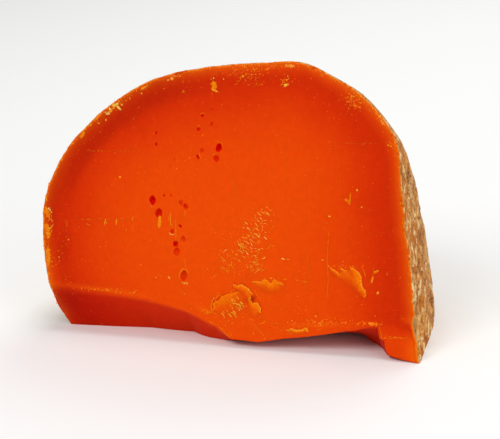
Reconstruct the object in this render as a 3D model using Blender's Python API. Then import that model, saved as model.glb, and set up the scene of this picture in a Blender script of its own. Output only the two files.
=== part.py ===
"""Cut piece of mimolette, a hard orange cheese made as a flattened ball.

A knife has gone through the ball twice. The large cut face leans back a little and
holds the line through both poles; the second cut is what the piece stands on. The
curved side and back are the pitted grey-brown rind.

Frame: metres, +Z up. The cut face looks towards -Y, the domed pole is at -X and the
flat pole at +X. The origin is on the ground, under the middle of the piece.
"""

import math
import random

import bmesh
import bpy
from mathutils import Matrix, Vector, noise

MM = 0.001  # small features are listed in millimetres

# Whole ball, before it was cut. The pole at -X is domed. The other one, on which the
# ball matured, is a flat disc that cuts a fuller dome off short.
EQUATOR_RADIUS = 0.0950
DOMED_POLE = 0.0773
DOMED_EXPONENT = 2.49
FLAT_POLE = 0.0752
FULL_DOME = 0.0815
FULL_EXPONENT = 2.85
DISC_EDGE_SHARPNESS = 30.0
POLE_LINE_TILT = math.radians(9.05)
BALL_DIVISIONS = 6

# Large cut face: where its middle meets the ground, how far it leans back, and the
# ball's centre on it, measured along the face and up its slope
FACE_FOOT = Vector((0.0078, -0.0501, 0.0))
FACE_LEAN = math.radians(14.0)
CENTRE_ALONG = -0.0069
CENTRE_UP = 0.0186

# Lumps of the rind: degrees from the flat pole, degrees behind the cut face, the two
# spreads in degrees, and height in mm. A lump that goes all round is a ring.
ALL_ROUND = 1000.0
LUMPS = (
    (20.0, 0.0, 11.0, ALL_ROUND, -0.5),
    (38.0, 0.0, 6.0, ALL_ROUND, 1.7),
    (52.0, 0.0, 7.0, 25.0, 0.9),
    (67.0, 0.0, 7.0, 25.0, 2.2),
    (80.0, 0.0, 11.0, 32.0, 0.2),
    (116.0, 0.0, 13.0, 80.0, -1.7),
    (146.0, 0.0, 12.0, 32.0, 2.1),
    (172.0, 0.0, 12.0, 32.0, -1.7),
    (57.0, 32.0, 12.0, 22.0, -2.1),
    (118.0, 30.0, 11.0, 24.0, -1.2),
    (34.0, 125.0, 16.0, 55.0, 2.1),
)

# The rind under the domed pole draws in towards the ground
TUCK_TOP = 0.0205
TUCK_IN = 0.0070
TUCK_ALONG = 0.030

# Rind relief: broad unevenness, small ripples, and the pits that mites leave
SWELL_SIZE = 0.050
SWELL_HEIGHT = 0.0018
RIPPLE_SIZE = 0.012
RIPPLE_HEIGHT = 0.0006
PIT_SPACING = 0.013
PIT_REACH = 0.40
PIT_DEPTH = 0.0013
CALM_AT_RIM = math.radians(20.0)
CALM_AT_POLE = math.radians(70.0)
RELIEF_AT_RIM = 0.3

# Underside. Each station along the piece: place along X from the middle of the cut
# face, height of the face's lower edge, and how far back the cheese meets the ground
UNDERCUT_STATIONS = (
    (-96.0, 19.9, 10.8),
    (-84.0, 19.5, 11.0),
    (-72.0, 18.3, 11.6),
    (-56.0, 17.8, 13.2),
    (-42.0, 16.6, 15.0),
    (-35.0, 15.4, 14.4),
    (-28.8, 14.2, 14.2),
    (-24.0, 13.1, 14.4),
    (-20.0, 11.6, 11.2),
    (-16.0, 9.8, 9.4),
    (-12.0, 8.3, 8.6),
    (-9.0, 6.1, 8.0),
    (-5.4, 3.6, 8.4),
    (6.0, 3.1, 14.0),
    (17.0, 5.5, 20.0),
    (23.0, 6.3, 24.0),
    (34.0, 8.5, 28.0),
    (41.0, 10.2, 27.6),
    (44.0, 10.6, 27.3),
    (49.0, 12.3, 20.0),
    (54.0, 12.9, 14.5),
    (54.9, 8.8, 12.9),
    (57.0, 8.2, 8.2),
    (57.4, 5.6, 7.0),
    (59.0, 2.4, 4.9),
    (64.6, 1.0, 2.7),
    (71.0, 0.05, 0.6),
    (90.0, 0.05, 0.6),
)

# Eyes in the cut face: along and up it, width and height in mm, turn in degrees
EYES = (
    (-14.4, 80.5, 2.3, 3.5, -15.0),
    (-15.2, 76.1, 2.2, 2.4, 0.0),
    (-23.2, 87.4, 1.5, 1.5, 0.0),
    (-21.8, 93.0, 1.0, 1.4, -40.0),
    (-17.9, 89.7, 0.9, 1.9, -15.0),
    (-22.8, 76.3, 1.2, 1.9, 35.0),
    (-21.2, 79.0, 1.7, 1.5, 30.0),
    (-40.4, 80.4, 1.0, 1.6, 0.0),
    (-40.6, 84.9, 0.9, 1.6, -10.0),
    (-40.8, 57.6, 2.5, 3.5, 10.0),
    (-37.8, 52.4, 2.7, 3.5, 0.0),
    (-28.8, 57.3, 1.6, 2.4, 25.0),
    (-26.9, 56.0, 1.8, 2.4, 30.0),
    (-28.7, 47.7, 1.0, 1.7, 50.0),
    (-31.9, 45.4, 1.8, 1.8, 0.0),
    (-27.1, 42.8, 1.8, 2.3, 30.0),
    (-30.2, 40.5, 2.1, 2.4, 20.0),
    (-29.7, 37.4, 2.4, 3.2, 0.0),
    (-26.1, 27.7, 3.0, 4.6, 0.0),
)
EYE_DIVISIONS = 2
EYE_DEPTH_SHARE = 0.45

# Flakes that the knife lifted: outline in mm along and up the face, the way in degrees
# in which the flake rises from the face, and its height in mm at that end
FLAKES = (
    (((-13.4, 14.2), (-12.4, 15.9), (-13.4, 17.3), (-12.5, 18.9), (-11.2, 18.9),
      (-10.1, 20.5), (-8.2, 21.6), (-4.8, 22.6), (-2.6, 23.3), (-0.6, 21.0),
      (-4.0, 15.0), (-8.5, 13.2)), 115.0, 1.0),
    (((-6.2, 24.6), (-5.3, 26.1), (-4.0, 25.8), (-2.2, 26.1), (-0.2, 25.4),
      (1.4, 24.2), (2.8, 22.6), (1.8, 20.3), (3.0, 19.0), (4.5, 19.4),
      (6.2, 17.9), (6.7, 15.1), (1.7, 14.4), (0.4, 20.4), (-3.5, 23.4)), 55.0, 1.4),
    (((2.2, 27.3), (3.9, 28.1), (5.6, 27.9), (7.4, 29.1), (8.8, 28.6), (10.2, 27.6),
      (11.2, 29.4), (12.5, 28.7), (15.1, 27.5), (15.0, 25.7), (8.9, 25.0)), 90.0, 0.8),
    (((22.2, 29.6), (24.7, 29.2), (24.7, 28.1), (22.9, 28.2)), 90.0, 0.6),
    (((32.1, 36.8), (34.0, 35.5), (35.9, 34.4), (37.4, 33.3), (37.5, 35.5),
      (39.0, 35.2), (40.2, 34.9), (41.8, 36.3), (43.9, 35.4), (45.6, 34.3),
      (46.5, 32.5), (46.6, 30.5), (47.2, 28.5), (48.5, 27.4), (48.8, 25.8),
      (48.4, 24.7), (46.0, 27.0), (41.5, 31.5), (35.0, 33.2)), 35.0, 1.3),
    (((49.9, 30.7), (50.2, 33.2), (50.5, 34.4), (52.1, 35.4), (51.4, 33.9),
      (50.6, 32.3)), 60.0, 0.7),
    (((17.5, 8.7), (19.3, 9.7), (21.4, 9.5), (23.9, 9.7), (25.9, 10.6), (26.2, 9.2),
      (23.4, 8.2), (20.5, 8.5)), 60.0, 0.7),
    (((-19.4, 107.2), (-17.6, 107.6), (-16.2, 105.4), (-15.6, 102.8), (-18.6, 103.4),
      (-19.6, 105.0)), -60.0, 0.9),
    (((38.0, 61.5), (38.8, 63.6), (39.8, 65.0), (40.2, 61.6)), -90.0, 0.6),
)
FLAKE_ROOT = 0.0010
FLAKE_EDGE_SHARE = 0.12

# Foot at the flat pole, whose lower part was cut a little deeper
FOOT_STEP_FROM = 0.0480
FOOT_STEP_TO = 0.0700
FOOT_STEP_TOP = 0.0096
FOOT_STEP_DEPTH = 0.0008

# Bites that broke out of the rind's edge when the cheese was cut
RIM_BITES = 22
RIM_BITE_MIN = 0.0008
RIM_BITE_MAX = 0.0019
RIM_BITE_STRETCH = (0.8, 1.6)
RIM_BITE_DIVISIONS = 1
RIM_BITE_FORWARD = 0.5
RIM_FROM = math.radians(-2.0)
RIM_TO = math.radians(176.0)
SEED = 7

# How far cutters run past the piece, and the underside's ramp in front of the face
CUTTER_REACH = 0.16
PAST_THE_FACE = 0.003

SHARP_ANGLE = math.radians(35.0)
PASTE_COLOUR = (0.80, 0.075, 0.002, 1.0)
PASTE_ROUGHNESS = 0.42

# Directions of the cut face and of the ball
ALONG = Vector((1.0, 0.0, 0.0))
UP_FACE = Vector((0.0, math.sin(FACE_LEAN), math.cos(FACE_LEAN)))
INTO_CHEESE = Vector((0.0, math.cos(FACE_LEAN), -math.sin(FACE_LEAN)))
POLE = ALONG * math.cos(POLE_LINE_TILT) + UP_FACE * math.sin(POLE_LINE_TILT)
RISE = UP_FACE * math.cos(POLE_LINE_TILT) - ALONG * math.sin(POLE_LINE_TILT)


def face_point(along, up, depth=0.0):
    """Point given along the cut face, up its slope, and behind it."""
    return FACE_FOOT + ALONG * along + UP_FACE * up + INTO_CHEESE * depth


def face_matrix(along, up, depth=0.0, turn=0.0):
    """Frame on the cut face: X along it, Y up its slope and Z out of the cheese."""
    axes = Matrix((ALONG, UP_FACE, -INTO_CHEESE)).transposed().to_4x4()
    place = Matrix.Translation(face_point(along, up, depth))
    return place @ axes @ Matrix.Rotation(turn, 4, "Z")


def dome_radius(angle, pole_radius, exponent):
    """Superellipse through the pole and the equator, in polar form."""
    pole_part = abs(math.cos(angle) / pole_radius) ** exponent
    equator_part = abs(math.sin(angle) / EQUATOR_RADIUS) ** exponent
    return (pole_part + equator_part) ** (-1.0 / exponent)


def ball_radius(angle):
    """Distance from the ball's centre to its rind, at an angle from the flat pole."""
    if math.cos(angle) <= 0.0:
        return dome_radius(angle, DOMED_POLE, DOMED_EXPONENT)
    dome = dome_radius(angle, FULL_DOME, FULL_EXPONENT)
    disc_part = (math.cos(angle) / FLAT_POLE) ** DISC_EDGE_SHARPNESS
    dome_part = (1.0 / dome) ** DISC_EDGE_SHARPNESS
    return (disc_part + dome_part) ** (-1.0 / DISC_EDGE_SHARPNESS)


def lump_height(angle, turn):
    """Summed height of the lumps in a direction."""
    height = 0.0
    for from_pole, behind, pole_spread, turn_spread, rise in LUMPS:
        off_pole = (math.degrees(angle) - from_pole) / pole_spread
        off_turn = (math.degrees(abs(turn)) - behind) / turn_spread
        height += rise * MM * math.exp(-(off_pole**2) - off_turn**2)
    return height


def tucked(point):
    """The point drawn in if it lies low under the domed pole."""
    low = min(1.0, max(0.0, (TUCK_TOP - point.z) / TUCK_TOP))
    left = min(1.0, max(0.0, -point.x / TUCK_ALONG))
    return point + ALONG * TUCK_IN * low * left


def rind_relief(point, angle, turn):
    """Swells, ripples and pits, all calmer beside the cut face. Swells also fade
    towards the flat pole."""
    away = min(1.0, abs(turn) / CALM_AT_RIM)
    swell_share = away * min(1.0, (angle / CALM_AT_POLE) ** 2)
    swell = noise.noise(point / SWELL_SIZE) * SWELL_HEIGHT * swell_share
    fine_share = RELIEF_AT_RIM + (1.0 - RELIEF_AT_RIM) * away
    ripple = noise.noise(point / RIPPLE_SIZE) * RIPPLE_HEIGHT
    nearest = noise.voronoi(point / PIT_SPACING)[0][0]
    pit = max(0.0, 1.0 - (nearest / PIT_REACH) ** 2) * PIT_DEPTH
    return swell + (ripple - pit) * fine_share


def rind_offset(direction):
    """Vector from the ball's centre to the rind in a direction of length 1."""
    angle = math.acos(max(-1.0, min(1.0, direction.dot(POLE))))
    turn = math.atan2(direction.dot(INTO_CHEESE), direction.dot(RISE))
    radius = ball_radius(angle) + lump_height(angle, turn)
    return direction * (radius + rind_relief(direction * radius, angle, turn))


def clear_scene():
    for item in list(bpy.data.objects):
        bpy.data.objects.remove(item, do_unlink=True)


def new_collection(name):
    collection = bpy.data.collections.new(name)
    bpy.context.scene.collection.children.link(collection)
    return collection


def new_object(name, bm, collection):
    """Object made from a bmesh, which is freed."""
    bmesh.ops.recalc_face_normals(bm, faces=bm.faces)
    mesh = bpy.data.meshes.new(name)
    bm.to_mesh(mesh)
    bm.free()
    item = bpy.data.objects.new(name, mesh)
    collection.objects.link(item)
    return item


def new_cutter(name, bm, collection):
    cutter = new_object(name, bm, collection)
    cutter.hide_render = True
    cutter.display_type = "WIRE"
    return cutter


def subtract(item, cutter):
    modifier = item.modifiers.new("cut " + cutter.name, "BOOLEAN")
    modifier.operation = "DIFFERENCE"
    modifier.solver = "EXACT"
    if isinstance(cutter, bpy.types.Collection):
        modifier.operand_type = "COLLECTION"
        modifier.collection = cutter
    else:
        modifier.object = cutter


def paste_material():
    material = bpy.data.materials.new("paste")
    material.use_nodes = True
    shader = material.node_tree.nodes["Principled BSDF"]
    shader.inputs["Base Color"].default_value = PASTE_COLOUR
    shader.inputs["Roughness"].default_value = PASTE_ROUGHNESS
    shader.inputs["Metallic"].default_value = 0.0
    return material


def make_ball(collection):
    """The whole ball, an even mesh drawn out to the rind in every direction."""
    centre = face_point(CENTRE_ALONG, CENTRE_UP)
    bm = bmesh.new()
    bmesh.ops.create_icosphere(bm, subdivisions=BALL_DIVISIONS, radius=1.0)
    for vert in bm.verts:
        vert.co = tucked(centre + rind_offset(vert.co.normalized()))
    ball = new_object("cheese", bm, collection)
    ball.data.materials.append(paste_material())
    return ball


def make_flake(name, outline, rise_turn, height, collection):
    """A flake as a closed wedge, rooted under the cut face and standing on it."""
    way = Vector((math.cos(math.radians(rise_turn)), math.sin(math.radians(rise_turn))))
    reach = [way.dot(Vector(point)) for point in outline]
    low, high = min(reach), max(reach)
    bm = bmesh.new()
    root = [bm.verts.new(face_point(u * MM, v * MM, FLAKE_ROOT)) for u, v in outline]
    base = bm.faces.new(root)
    top = bmesh.ops.extrude_face_region(bm, geom=[base])["geom"]
    for vert in (part for part in top if isinstance(part, bmesh.types.BMVert)):
        nearest = min(range(len(root)), key=lambda index: (root[index].co - vert.co).length)
        share = (reach[nearest] - low) / (high - low)
        lift = height * MM * (FLAKE_EDGE_SHARE + (1.0 - FLAKE_EDGE_SHARE) * share)
        vert.co -= INTO_CHEESE * (FLAKE_ROOT + lift)
    return new_cutter(name, bm, collection)


def make_face_cutter(cutters, flakes):
    """All that lies in front of the cut face, less the flakes that stay on it."""
    bm = bmesh.new()
    size = 2.0 * CUTTER_REACH
    place = face_matrix(0.0, 0.0, -CUTTER_REACH) @ Matrix.Scale(size, 4)
    bmesh.ops.create_cube(bm, size=1.0, matrix=place)
    cutter = new_cutter("face_cut", bm, cutters)
    for number, (outline, rise_turn, height) in enumerate(FLAKES, start=1):
        make_flake(f"flake_{number}", outline, rise_turn, height, flakes)
    subtract(cutter, flakes)
    return cutter


def undercut_section(along, edge_height, contact_back):
    """Section of the underside cutter: flat ground behind, then a ramp that meets the
    cut face at the edge's height and runs on in front of it."""
    x = FACE_FOOT.x + along * MM
    edge_z = edge_height * MM
    edge_y = edge_z * math.tan(FACE_LEAN)
    contact_y = contact_back * MM
    slope = edge_z / (contact_y - edge_y)
    front_y = edge_y - PAST_THE_FACE
    front_z = edge_z + PAST_THE_FACE * slope
    outline = (
        (-CUTTER_REACH, -CUTTER_REACH),
        (CUTTER_REACH, -CUTTER_REACH),
        (CUTTER_REACH, 0.0),
        (contact_y, 0.0),
        (front_y, front_z),
        (-CUTTER_REACH, front_z),
    )
    return [Vector((x, FACE_FOOT.y + y, z)) for y, z in outline]


def make_underside_cutter(cutters):
    """All that lies under the piece, lofted through the stations."""
    bm = bmesh.new()
    rings = []
    for station in UNDERCUT_STATIONS:
        rings.append([bm.verts.new(point) for point in undercut_section(*station)])
    for near, far in zip(rings, rings[1:]):
        for index in range(len(near)):
            after = (index + 1) % len(near)
            bm.faces.new((near[index], near[after], far[after], far[index]))
    bm.faces.new(rings[0])
    bm.faces.new(rings[-1])
    bmesh.ops.triangulate(bm, faces=bm.faces)
    return new_cutter("underside_cut", bm, cutters)


def make_foot_step(hollows):
    """A thin wedge off the lower part of the foot, deepest at its inner side."""
    width = FOOT_STEP_TO - FOOT_STEP_FROM
    wedge_turn = math.atan2(FOOT_STEP_DEPTH, width)
    place = face_matrix(FOOT_STEP_TO, FOOT_STEP_TOP)
    place = place @ Matrix.Rotation(wedge_turn, 4, "Y")
    place = place @ Matrix.Translation(Vector((-width, -width, width)) / 2.0)
    bm = bmesh.new()
    bmesh.ops.create_cube(bm, size=width, matrix=place)
    new_cutter("foot_step", bm, hollows)


def make_eyes(hollows):
    """Eyes, as ellipsoids sunk by half into the cut face."""
    for number, (along, up, width, height, turn) in enumerate(EYES, start=1):
        place = face_matrix(along * MM, up * MM, 0.0, math.radians(turn))
        depth = (width + height) * EYE_DEPTH_SHARE
        radii = Matrix.Diagonal((width / 2.0 * MM, height / 2.0 * MM, depth * MM, 1.0))
        bm = bmesh.new()
        bmesh.ops.create_icosphere(
            bm, subdivisions=EYE_DIVISIONS, radius=1.0, matrix=place @ radii
        )
        new_cutter(f"eye_{number}", bm, hollows)


def make_rim_bites(hollows):
    """Small uneven bites along the edge between the rind and the cut face."""
    draw = random.Random(SEED)
    centre = face_point(CENTRE_ALONG, CENTRE_UP)
    for number in range(1, RIM_BITES + 1):
        share = draw.random()
        angle = RIM_FROM + (RIM_TO - RIM_FROM) * share
        direction = POLE * math.cos(angle) + RISE * math.sin(angle)
        radius = draw.uniform(RIM_BITE_MIN, RIM_BITE_MAX)
        place = tucked(centre + rind_offset(direction))
        place -= INTO_CHEESE * radius * RIM_BITE_FORWARD
        radii = [radius * draw.uniform(*RIM_BITE_STRETCH) for _ in range(3)]
        spin = Matrix.Rotation(draw.uniform(0.0, math.tau), 4, INTO_CHEESE)
        shape = Matrix.Translation(place) @ spin @ Matrix.Diagonal((*radii, 1.0))
        bm = bmesh.new()
        bmesh.ops.create_icosphere(
            bm, subdivisions=RIM_BITE_DIVISIONS, radius=1.0, matrix=shape
        )
        new_cutter(f"bite_{number}", bm, hollows)


def main():
    clear_scene()
    parts = new_collection("mimolette")
    cutters = new_collection("cutters")
    flakes = new_collection("flakes")
    hollows = new_collection("hollows")
    cheese = make_ball(parts)
    subtract(cheese, make_face_cutter(cutters, flakes))
    subtract(cheese, make_underside_cutter(cutters))
    make_foot_step(hollows)
    make_eyes(hollows)
    make_rim_bites(hollows)
    subtract(cheese, hollows)
    cheese.data.shade_smooth()
    cheese.data.set_sharp_from_angle(angle=SHARP_ANGLE)


main()
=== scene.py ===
"""Looks of a cut piece of mimolette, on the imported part.

The piece is made again from the part's own measures with a finer mesh, so that the rind
has its pits and the cut its worn rim. Flakes, knife marks and crumbs are pieces of their
own that sit on the cut face. Metres, +Z up; lists of small features are in millimetres.
"""

import math
import random

import bmesh
import bpy
import numpy as np
from mathutils import Matrix, Vector, kdtree, noise
from mathutils.geometry import delaunay_2d_cdt


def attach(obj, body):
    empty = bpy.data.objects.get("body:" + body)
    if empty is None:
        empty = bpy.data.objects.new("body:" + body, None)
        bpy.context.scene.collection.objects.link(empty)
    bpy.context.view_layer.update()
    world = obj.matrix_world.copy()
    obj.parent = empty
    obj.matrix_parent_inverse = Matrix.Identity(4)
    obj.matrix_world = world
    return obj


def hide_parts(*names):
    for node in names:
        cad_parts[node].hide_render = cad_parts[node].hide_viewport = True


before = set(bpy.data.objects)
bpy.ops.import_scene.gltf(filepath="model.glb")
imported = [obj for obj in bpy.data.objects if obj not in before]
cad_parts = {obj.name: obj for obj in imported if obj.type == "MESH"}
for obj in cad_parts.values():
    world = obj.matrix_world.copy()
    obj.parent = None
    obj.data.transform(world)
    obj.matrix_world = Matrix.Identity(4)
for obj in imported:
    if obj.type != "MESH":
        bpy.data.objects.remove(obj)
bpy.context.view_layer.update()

MM = 0.001

# Whole ball, before it was cut
EQUATOR_RADIUS = 0.0950
DOMED_POLE = 0.0773
DOMED_EXPONENT = 2.49
FLAT_POLE = 0.0752
FULL_DOME = 0.0815
FULL_EXPONENT = 2.85
DISC_EDGE_SHARPNESS = 30.0
POLE_LINE_TILT = math.radians(9.05)
BALL_DIVISIONS = 8

# Large cut face, and the ball's centre on it: along it and up its slope
FACE_FOOT = np.array((0.0078, -0.0501, 0.0))
FACE_LEAN = math.radians(14.0)
FACE_MIDDLE = np.array((-0.0069, 0.0186))

# Lumps of the rind: degrees from the flat pole, degrees behind the cut face, the two
# spreads in degrees, and height in mm
ALL_ROUND = 1000.0
LUMPS = (
    (20, 0, 11, ALL_ROUND, -0.5), (38, 0, 6, ALL_ROUND, 1.7), (52, 0, 7, 25, 0.9),
    (67, 0, 7, 25, 2.2), (80, 0, 11, 32, 0.2), (116, 0, 13, 80, -1.7), (146, 0, 12, 32, 2.1),
    (172, 0, 12, 32, -1.7), (57, 32, 12, 22, -2.1), (118, 30, 11, 24, -1.2),
    (34, 125, 16, 55, 2.1),
)
# The rind is drawn in along X where it lies lower than this, left of the middle
TUCK_TOP = 0.0205
TUCK_IN = 0.0070
TUCK_ALONG = 0.030

# Rind relief as in the part: swells, ripples and pits, calmer at the rim and at the pole
SWELL_SIZE = 0.050
SWELL_HEIGHT = 0.0018
RIPPLE_SIZE = 0.012
RIPPLE_HEIGHT = 0.0006
PIT_SPACING = 0.013
PIT_REACH = 0.40
PIT_DEPTH = 0.0013
CALM_AT_RIM = math.radians(20.0)
CALM_AT_POLE = math.radians(70.0)
RELIEF_AT_RIM = 0.3
# Only here: uneven outlines of the pits, then smaller pits that lie in groups, and grain
PIT_WOBBLE_SIZE = 0.0045
PIT_WOBBLE = 0.0016
PIT_WOBBLE_SHIFTS = (Vector((0.0, 0.0, 0.0)), Vector((9.0, 4.0, 2.0)), Vector((3.0, 7.0, 8.0)))
SMALL_PIT_SPACING = 0.0042
SMALL_PIT_REACH = 0.42
SMALL_PIT_DEPTH = 0.0007
SMALL_PIT_SHIFT = Vector((5.0, 3.0, 1.0))
SMALL_PIT_OFTEN = 0.45
GRAIN_SIZE = 0.0026
GRAIN_HEIGHT = 0.00015
GRAIN_ROUGHNESS = 0.9
# Rind in front of this depth behind the face, or below this height, is cut away
LEAST_DEPTH = -0.004
LEAST_HEIGHT = -0.006
# Dust on the rind: it grows from this far towards the flat pole to the dome, and the
# disc has less of it, from some way behind the cut
DUSTY_FROM = 0.070
DUSTY_FADE = 0.030
DUSTY_BEHIND = 0.5
DUSTY_BEHIND_FROM = 0.015
DUSTY_BEHIND_FADE = 0.045

# Underside: place along X from the middle of the cut face, height of the face's lower
# edge, and how far back the cheese meets the ground
UNDERCUT_STATIONS = (
    (-96, 19.9, 10.8), (-84, 19.5, 11), (-72, 18.3, 11.6), (-56, 17.8, 13.2), (-42, 16.6, 15),
    (-35, 15.4, 14.4), (-28.8, 14.2, 14.2), (-24, 13.1, 14.4), (-20, 11.6, 11.2), (-16, 9.8, 9.4),
    (-12, 8.3, 8.6), (-9, 6.1, 8), (-5.4, 3.6, 8.4), (6, 3.1, 14), (17, 5.5, 20), (23, 6.3, 24),
    (34, 8.5, 28), (41, 10.2, 27.6), (44, 10.6, 27.3), (49, 12.3, 20), (54, 12.9, 14.5),
    (54.9, 8.8, 12.9), (57, 8.2, 8.2), (57.4, 5.6, 7), (59, 2.4, 4.9), (64.6, 1, 2.7),
    (71, 0.05, 0.6), (90, 0.05, 0.6),
)
STATION_STEP = 0.9
RAMP_PARTS = 10
RAMP_WAVE = 0.3
RAMP_WAVE_SIZE = (9.0, 4.0)
LOWER_CHAMFER = 0.3
CHAMFER_WAVE_SIZE = 5.0
CHAMFER_MOST = 0.4
PAST_THE_FACE = 3.0
STEEPER_IN_FRONT = 0.6
UNDER_REACH = 160.0

# Eyes in the cut face: along and up it, width and height in mm, turn in degrees, and how
# dark they are inside, which sets their depth and the painted shade in them
EYES = (
    (-14.4, 80.5, 2.5, 3.7, -15, 1), (-15.2, 76.1, 2.4, 2.6, 0, 0.62),
    (-23.2, 87.4, 1.6, 1.6, 0, 0.8), (-21.8, 93, 1.1, 1.5, -40, 0.9),
    (-17.9, 89.7, 0.9, 2, -15, 0.45), (-22.8, 76.3, 1.2, 2, 35, 0.9),
    (-21.2, 79, 1.9, 1.7, 30, 0.38), (-40.4, 80.4, 1, 1.6, 0, 0.8),
    (-40.6, 84.9, 0.9, 1.6, -10, 0.7), (-40.8, 57.6, 2.8, 3.8, 10, 1),
    (-37.8, 52.4, 2.9, 3.9, 0, 0.8), (-28.8, 57.4, 1.8, 2.3, 25, 0.4),
    (-26.9, 56, 1.9, 2.5, 30, 0.65), (-28.7, 47.9, 1.1, 1.9, 50, 1),
    (-31.9, 45.5, 1.9, 2, 0, 0.5), (-27.2, 42.8, 2.1, 2.5, 30, 0.38),
    (-30.3, 40.5, 2.2, 2.7, 20, 1), (-29.7, 37.5, 2.6, 3.4, 0, 0.45),
    (-26.2, 28.1, 2.9, 4.6, 0, 0.42), (-18, 95.9, 0.8, 1, 0, 0.6), (-36.1, 59.8, 1, 1.1, 0, 0.8),
    (-33.2, 59.9, 1, 1.4, 0, 0.4), (-32.5, 74.8, 0.6, 0.8, 0, 0.7), (-34, 71.9, 0.6, 0.7, 0, 0.6),
)
EYE_DEPTH_SHARES = (0.14, 0.32)
EYE_FORWARD = 0.00007
EYE_EDGE = 1.3
EYE_UNEVEN = 0.25
LUMP_WAVE = 1.3
# Painted shade in the cracks beside the flakes: how far their colour goes towards dark red
CRACK_SHADE = 0.45

# Flakes that the knife lifted: outline in mm along and up the face, the way in degrees
# in which the flake rises from the face, its height in mm at that end, how bright it is,
# and how much of its torn edge has a crack beside it
FLAKES = (
    (((-13.4, 14.2), (-13, 15.9), (-13.5, 17.3), (-12.5, 18.7), (-11.2, 18.9),
      (-10.1, 20.5), (-8.2, 21.6), (-4.8, 22.6), (-2.6, 23.3), (-0.6, 21),
      (0.4, 16), (-4, 12.6), (-8.5, 12.2)), 140, 0.9, 0.85, 0.85),
    (((-6.2, 24.6), (-5.3, 26.1), (-4, 25.5), (-2.2, 26.2), (-0.2, 25.4),
      (1.4, 24.2), (2.8, 22.6), (1.8, 20.3), (3, 19), (4.5, 19.4),
      (6.2, 17.9), (6.7, 15.1), (4, 12.4), (1.7, 13.8), (0.4, 20.4), (-3.5, 23.4)),
     60, 1.2, 1.35, 0.7),
    (((2.2, 27.3), (3.9, 28.1), (5.6, 27.7), (6.2, 28.4), (7.4, 29.1), (8.6, 28.6),
      (10, 27.3), (11.2, 29.4), (12.5, 28.4), (13.4, 28.3), (15.1, 27.5),
      (15, 25), (12, 23.2), (8.9, 22.8), (5, 24.4)), 90, 0.7, 1.15, 0.3),
    (((22.2, 29.6), (23.6, 29.3), (24.9, 29.4), (24.7, 27.9), (22.9, 27.6)),
     90, 0.6, 0.7, 0),
    (((32.1, 36.8), (34, 35.6), (35.9, 34.6), (37.4, 33.3), (37.5, 35.7),
      (39, 35.4), (40.2, 34.9), (41.8, 36.3), (43.9, 35.6), (45.6, 34.3),
      (46.5, 32.5), (46.6, 30.5), (47.2, 28.5), (48.5, 27.4), (48.8, 25.8),
      (48.2, 24.4), (46.4, 24.8), (42.5, 27.5), (38, 30.4), (34, 33.4)),
     40, 1.1, 1.25, 0.35),
    (((49.6, 30.2), (50, 33.2), (50.6, 34.6), (52.6, 36), (53, 35.4), (51.4, 33.6),
      (50.9, 30.6)), 60, 0.6, 1.5, 0),
    (((17.5, 8.7), (19.3, 9.9), (21.4, 9.5), (23.9, 9.9), (25.9, 10.6), (26.2, 9),
      (23.4, 7.8), (20.5, 7.6)), 70, 0.7, 1.7, 0.1),
)
# In mm, how deep flakes reach, how low their root lies, and how far apart the points of
# their top are; then the spacing of its rows and their gap to the outline in shares of that
FLAKE_ROOT = 0.6
FLAKE_SINK = 0.06
FLAKE_CELL = 0.32
FLAKE_ROW = 0.87
FLAKE_CLEAR = 0.6
FLAKE_OUTLINE_STEP = 0.2
FLAKE_RAGGED = ((1.1, 0.24), (0.5, 0.26), (0.26, 0.12))
FLAKE_HEIGHT_SHARE = 0.42
# Their surface: wrinkles, a lip that bends down at the torn edge, and light patches
FLAKE_WRINKLE = 0.3
FLAKE_WRINKLE_SIZE = 1.3
FLAKE_WRINKLE_ROUGHNESS = 0.6
LIP_REACH = 0.35
LIP_DROP = 0.18
FLAKE_LIGHT = 0.85
FLAKE_LIGHT_WAVE = 0.6
FLAKE_LIGHT_SIZE = 0.7
LIP_LIGHT = 0.8
LIP_LIGHT_SIZE = 0.8
LIP_LIGHT_OFTEN = 0.4
FLAKE_ROOT_LIGHT = 0.6
TINY = 1e-6
# An outline is torn where its direction, taken over some points, is near the rise
TORN_TURN = 0.15
TORN_POINTS = 3
# Cracks beside the torn edges, in mm: they begin under the flake and in front of the
# face, and they taper to both ends and to their bottom
TRENCH_SHORTEST = 5
TRENCH_GAP_SIZE = 9.0
TRENCH_WIDTH = 0.62
TRENCH_WAVE = 0.9
TRENCH_WAVE_SIZE = 4.0
TRENCH_DEPTH = 0.26
TRENCH_FRONT = -0.3
TRENCH_INNER = -0.12
TRENCH_BOTTOM = 0.4
TRENCH_TAPER = 5.0
TRENCH_END = 0.04

# Patches of the cut face: along and up it, half length and half width in mm, turn in
# degrees, and tone (below 0 darker, up to 1 brighter orange, up to 2 cream)
PATCHES = (
    (-80, 44, 16, 3, 80, 0.3), (-60, 19.5, 22, 1.6, -3, 0.28), (-15, 14, 7, 1.2, -20, 0.35),
    # The patch at 2.9 along and 20.8 up is painted shade of a shallow hollow beside the crescent
    # flake
    (2, 10, 8, 3, 25, -0.22), (2.9, 20.8, 1.3, 2, 0, -0.7), (69.5, 4, 4.5, 9, 0, 0.42),
    (30, 12, 14, 1, 3, 0.3), (-2, 27.5, 9, 1.6, -12, -0.25),
)
# Painted shade on the underside, in the same form: darker at the notch and at the left end of the
# facet
UNDER_SHADE_PATCHES = (
    (50, 7.5, 8, 4, 0, -0.45), (-78, 13, 9, 9, 0, -0.4), (-50, 10, 26, 4, -8, -0.14),
)
# The dark band along the rim is darker at the left: how much, where it begins, ends and
# fades by the distance from the rim, and how it comes in along and up the face, in mm
LEFT_BAND_DARKER = 0.40
LEFT_BAND_BEGIN = 1.5
LEFT_BAND_END = 14.0
LEFT_BAND_FADE = 5.0
LEFT_BAND_ALONG = 40.0
LEFT_BAND_FROM_UP = 24.0
LEFT_BAND_UP = 12.0
# How far behind the cut face the underside takes on its full painted shade
UNDER_SHADE_FADE = 0.0022
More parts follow.
